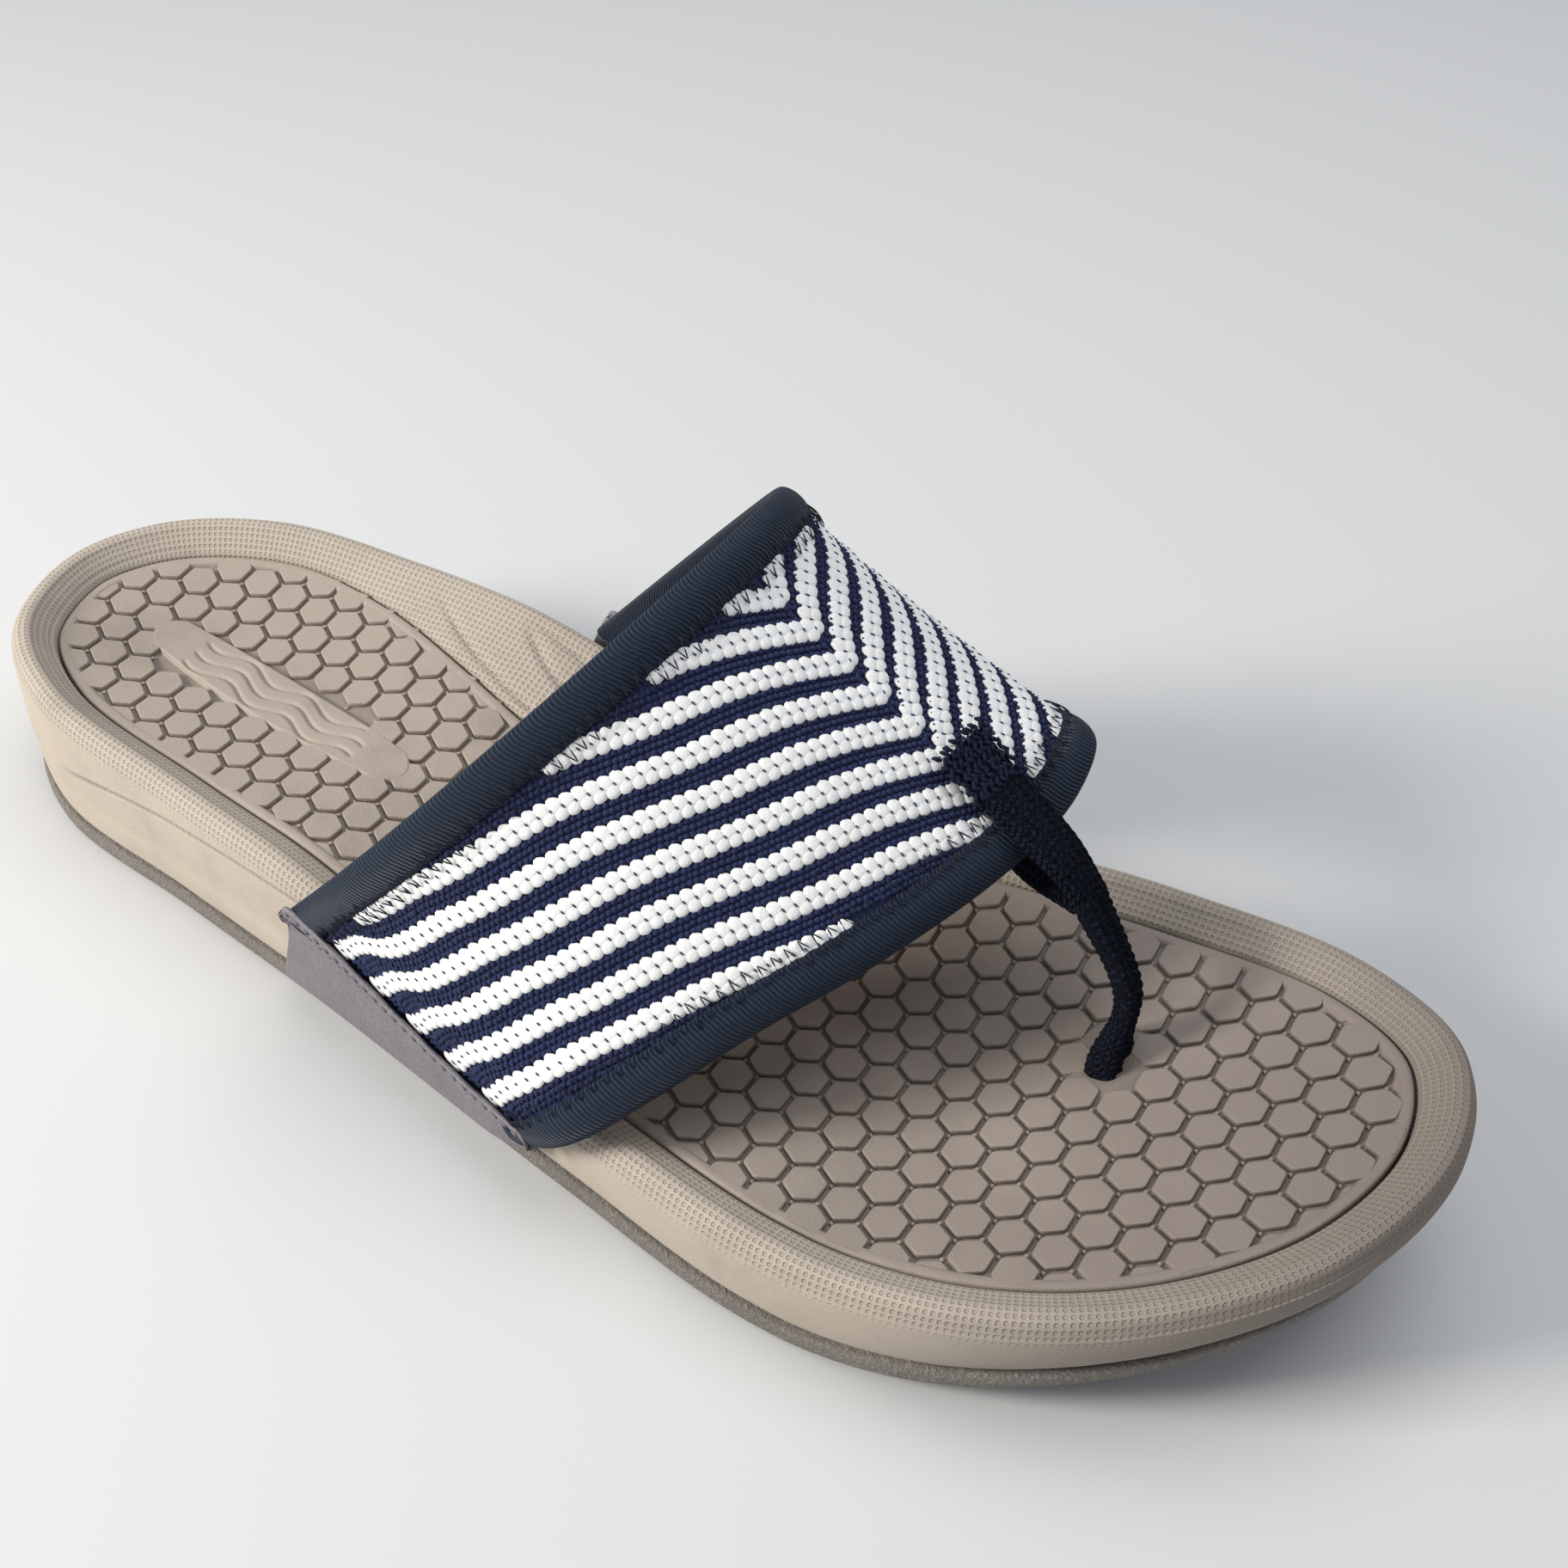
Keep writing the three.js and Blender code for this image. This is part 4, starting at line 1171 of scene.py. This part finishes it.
# %% Bindings
TAPE = 6.5           # how far the tape reaches in from the edge
SECTION = through(
    [(TAPE, 1.5), (TAPE - 0.4, 1.9), (4.7, 2.45), (3.0, 2.75), (0.9, 2.5), (-0.55, 1.7),
     (-0.95, 0.5), (-0.7, -0.7), (0.4, -1.65), (3.2, -2.05), (TAPE - 1.5, -1.9), (TAPE, -1.5)],
    False, 34,
)


def at_edge(edge, u, inwards):
    """The v that lies some millimetres in from the rear edge (0) or the front edge (1)."""
    width = np.interp(u, strap_u, widths)
    return inwards / width if edge == 0 else 1 - inwards / width


def binding(edge):
    u = np.linspace(0, 1, 241)[None]
    inwards, height = SECTION[:, :1], SECTION[:, 1:]
    ripple = 0.12 * np.sin(u * 2 * math.pi * 61) * smooth((inwards - 3) / 3)
    u = np.broadcast_to(u, (len(SECTION), 241))
    bm = lay(strap(u, at_edge(edge, u, inwards), height + ripple))
    spot = strap(0.5, at_edge(edge, 0.5, 5.0), 2.8)
    return thicken(bm, spot, strap_normal(0.5, 0.5), 0.5)


# %% Cover stitch
thread_shape = drop_shape(0.0, 1.0, 1)


def segment(places, a, b, up, thick):
    """A short length of thread from a to b."""
    long = np.linalg.norm(b - a) / 2 * 1.12
    axis = unit(b - a)
    places.append(((a + b) / 2, axis, unit(np.cross(up, axis)), up, long, thick, thick))


def cover_stitch(edge):
    """A zigzag of thread, with every other stitch on the tape and the rest on the knit."""
    count = int(travel((rear_arch, front_arch)[edge])[-1] / 1.15)
    u = np.linspace(0.012, 0.988, count)
    on_tape = np.arange(count) % 2 == 0
    loose = [random.uniform(-0.5, 0.5) for _ in range(count)]
    inwards = np.where(on_tape, 4.9, 9.0) + loose
    spots = strap(u, at_edge(edge, u, inwards), np.where(on_tape, 2.6, 1.85))
    ups = strap_normal(u, at_edge(edge, u, inwards))
    mids = (spots[:-1] + spots[1:]) / 2 + ups[:-1] * 0.35
    places = []
    for a, m, b, up in zip(spots[:-1], mids, spots[1:], ups):
        segment(places, a, m, up, 0.14)
        segment(places, m, b, up, 0.14)
    bm = bmesh.new()
    sew(bm, thread_shape, places)
    face_out(bm)
    return bm


for edge, name, node, run in (
    (0, "rear", "rear_binding", 0.205), (1, "front", "front_binding", 0.176),
):
    tape = finished("tape_" + name, binding(edge), satin, "binding_tape", node)
    stitch = finished("cover_stitch_" + name, cover_stitch(edge), dark_thread, "binding_tape")

# %% [markdown]
# ## Leather tabs at the sides
# Each end of the strap is caught behind a soft leather tab that lies on the wall of the foam. Its
# top edge overlaps the knit and is held by two rows of stitches, and its foot tucks in under the
# foam.

# %% Tab skins
def tab_rows(side):
    (rear_back, _), (front_back, _) = TAB_ENDS[side]
    rear_x, front_x = LENGTH - rear_back, LENGTH - front_back
    p = np.linspace(0, 1, 121)
    ends = np.abs(2 * p - 1) ** 8
    corner_round = 2.2 * (1 - np.sqrt(np.clip(1 - np.abs(2 * p - 1) ** 30, 0, 1)))
    top_x = between(rear_x - 0.6, front_x + 0.6, p)
    low_x = between(rear_x - 8, front_x - 2, p)
    low_z = ground(low_x) + SOLE + GAP + 0.25 + 4 * np.clip((p - 0.8) / 0.2, 0, 1) ** 2
    high_z = tab_top(side, top_x) + 4.1 - corner_round
    levels = [
        (-0.02, -0.6), (0.0, 1.2), (0.05, 2.3), (0.3, 2.75), (0.6, 2.9), (0.78, 3.4),
        (0.86, 4.5), (0.94, 5.25), (1.0, 5.2), (1.0, 4.5),
    ]
    knots = []
    for share, out in levels:
        x = between(low_x, top_x, np.clip(share, 0, 1))
        z = between(low_z, high_z, np.clip(share, 0, 1)) + min(share, 0) * 12
        bulge = out + ends * 0.35 * smooth((share - 0.6) / 0.3)
        knots.append(np.stack([x, wall_y(x, side) + side * bulge, z], axis=1))
    return blend_rows(np.array(knots), 46)


def tab(side):
    rows = tab_rows(side)
    return thicken(lay(rows), rows[20, 60], (0, side, 0), 0.9), rows


def tab_stitches(rows, side):
    """Two rows of stitches along the top edge, four steps of thread and two of gap."""
    up = unit(np.array([0, side, 0.35]))
    places = []
    for level in (43, 38):
        line = evenly(rows[level, 2:-2], 2 * len(rows[level]))
        line = evenly(line, int(travel(line)[-1] / 2.3) * 6)
        for start in range(0, len(line) - 5, 6):
            segment(places, line[start] + up * 0.1, line[start + 4] + up * 0.1, up, 0.26)
    bm = bmesh.new()
    sew(bm, thread_shape, places)
    face_out(bm)
    return bm


for side, name, node in ((-1, "outer", "lateral_tab"), (1, "inner", "medial_tab")):
    bm, rows = tab(side)
    finished("leather_tab_" + name, bm, leather, "tab_leather", node)
    finished("tab_stitches_" + name, tab_stitches(rows, side), grey_thread, "tab_leather")

# %% [markdown]
# ## The braided post
# The post is a doubled braided ribbon: it leaves the footbed wide, narrows, and parts at the strap.
# One strand lies over the strap and is tacked down, the other passes beneath. The braid is
# modelled: columns of small raised loops along the ribbon.

# %% A ribbon with braided relief
BRAID = 1.5          # length of one loop of the braid


def ribbon(route, sideways, width_at, thick_at, columns, round_sides=64, steps=220, seam=0.0):
    """A closed flat ribbon along a route, its section a rounded rectangle with a braid on it."""
    path = evenly(through(route, False, 800), steps)
    along = unit(np.gradient(path, axis=0))
    across = unit(sideways - along * (along @ sideways)[:, None])
    out = np.cross(along, across)
    share = np.linspace(0, 1, steps + 1)
    angle = np.linspace(0, 2 * math.pi, round_sides + 1)
    section_w = np.sign(np.cos(angle)) * np.abs(np.cos(angle)) ** 0.75
    section_t = np.sign(np.sin(angle)) * np.abs(np.sin(angle)) ** 0.55
    length = travel(path)[-1]
    rows = []
    for spot, w_dir, t_dir, s in zip(path, across, out, share):
        half_w, half_t = width_at(s) / 2, thick_at(s) / 2
        cap = math.sqrt(max(1 - max(0, (abs(2 * s - 1) - 0.97) / 0.03) ** 2, 0.02))
        column = section_w * columns / 2
        stagger = np.abs(column - np.round(column)) * 2
        braid = np.cos(2 * math.pi * column) * 0.5 + np.cos(
            2 * math.pi * (s * length / BRAID + stagger * 0.5)) * 0.5
        notch = seam * np.exp(-((section_w / 0.13) ** 2))
        lift = (0.3 * braid - notch) * np.clip(np.abs(section_t) * 1.5, 0, 1)
        rows.append(
            spot + np.outer(section_w * half_w * cap, w_dir)
            + np.outer((section_t * half_t + np.sign(section_t) * lift) * cap, t_dir)
        )
    start, end = (np.tile(spot, (round_sides + 1, 1)) for spot in (path[0], path[-1]))
    bm = lay([start] + rows + [end])
    weld(bm, 1e-3)
    return bm


# %% The route of the post
tack_u = MITRE[1]
edge_point = strap_flat(tack_u, 1.0)
strap_up = strap_normal(tack_u, 1.0)
strap_back = unit(strap_flat(tack_u, 0.0) - edge_point)
strap_across = unit(np.cross(strap_up, strap_back))


def over_strap(inwards, height):
    return edge_point + strap_back * inwards + strap_up * height


fork = over_strap(-12, 2)
floor_z = float(footbed(*POST))
half_way = np.array([POST[0], between(POST[1], fork[1], 0.4), between(floor_z, fork[2], 0.5)])
post_route = [(*POST, floor_z - 2.6), (*POST, floor_z + 2), tuple(half_way), tuple(fork)]
braided = ribbon(
    post_route, np.array([0, 1.0, 0]),
    lambda s: between(10.4, 5.1, smooth(s / 0.42)) + 1.9 * smooth((s - 0.62) / 0.38),
    lambda s: between(6.2, 3.5, smooth(s / 0.36)), 5, seam=0.8,
)
finished("braided_post", braided, post_yarn, "braided_tape", "toe_post")

# %% The two strands at the strap
rise = unit(fork - half_way)
away = unit(np.cross(strap_across, rise))
away *= np.sign(away @ strap_up)
for ride, sign, name, node in (
    (4.3, 1, "strand_over", "post_tape_upper"), (-3.5, -1, "strand_under", "post_tape_lower"),
):
    start = fork - rise * 1.2 + away * 0.9 * sign
    route = [start, over_strap(-5.5, ride + 0.2 * sign), over_strap(0, ride + 0.35 * sign),
             over_strap(9, ride), over_strap(19, ride - 0.2 * sign)]
    bm = ribbon(
        route, strap_across, lambda s: between(6.2, 8.4, smooth(s / 0.45)),
        lambda s: 1.9, 6, steps=170,
    )
    finished(name, bm, post_yarn, "braided_tape", node)

# %% The tack that holds them
TACK_ROWS, TACK_COLUMNS, HALF_TACK = 11, 9, 4.6
bm = bmesh.new()
places = []
for row in range(TACK_ROWS):
    for k in range(TACK_COLUMNS):
        inwards = 10.2 + row * 0.95 + random.uniform(-0.3, 0.3)
        shift = HALF_TACK * (2 * k / (TACK_COLUMNS - 1) - 1) + random.uniform(-0.35, 0.35)
        top = 5.15 - 0.35 * (abs(shift) / HALF_TACK) ** 3
        a, b = (
            over_strap(inwards + 0.8 * end, top) + strap_across * (shift + 0.5 * end * (-1) ** row)
            for end in (-1, 1)
        )
        segment(places, a, b, strap_up, 0.42)
sew(bm, thread_shape, places)
bmesh.ops.recalc_face_normals(bm, faces=bm.faces)
finished("tack_stitches", bm, post_yarn, "braided_tape", "bartack")

# %% [markdown]
# ## Inside the sole
# The anchor and its washer are sealed in the foam. They keep their solids and get simple moulded
# finishes.

# %% Anchor and washer
anchor_rubber = Finish("anchor_rubber", (0.04, 0.04, 0.04), 0.7)
anchor_rubber.relief(anchor_rubber.noise(900.0), 0.0001)
anchor_plastic = Finish("anchor_plastic", (0.25, 0.25, 0.25), 0.45)
anchor_plastic.relief(anchor_plastic.noise(700.0), 0.00005)
for node, finish in (("post_anchor", anchor_rubber), ("anchor_washer", anchor_plastic)):
    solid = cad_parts[node]
    solid.data.materials.clear()
    solid.data.materials.append(finish.material)

# %% [markdown]
# ## Floor and light
# A plain pale floor, a large soft key from the outer side and low, a wide fill from above, and an
# even pale world.

# %% Stage
stage = bmesh.new()
bmesh.ops.create_grid(stage, x_segments=1, y_segments=1, size=3.0)
floor_mesh = bpy.data.meshes.new("floor")
stage.to_mesh(floor_mesh)
stage.free()
floor = bpy.data.objects.new("floor", floor_mesh)
bpy.context.scene.collection.objects.link(floor)
floor_mesh.materials.append(Finish("pale_floor", (0.62, 0.62, 0.61), 0.9).material)
floor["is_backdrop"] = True

world = bpy.data.worlds.new("studio")
world.use_nodes = True
sky = world.node_tree.nodes["Background"].inputs
sky["Color"].default_value = (0.85, 0.9, 1.0, 1.0)
sky["Strength"].default_value = 0.42
bpy.context.scene.world = world


def lamp(name, spot, aim, size, energy, colour):
    light = bpy.data.lights.new(name, "AREA")
    light.size = size
    light.energy = energy
    light.color = colour
    holder = bpy.data.objects.new(name, light)
    bpy.context.scene.collection.objects.link(holder)
    holder.location = spot
    holder.rotation_mode = "QUATERNION"
    holder.rotation_quaternion = (Vector(aim) - Vector(spot)).to_track_quat("-Z", "Y")


lamp("key", (-0.6, -0.62, 0.5), (-0.02, 0, 0.03), 0.3, 11.0, (1.0, 0.97, 0.92))
lamp("fill", (0.1, 0.25, 0.9), (0, 0, 0), 0.8, 4.2, (0.96, 0.98, 1.0))
bpy.context.scene.view_settings.view_transform = "Standard"

# %% Last measures
low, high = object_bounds()
print("visual box in mm:", [round(c * 1000, 1) for c in (*low, *high)])
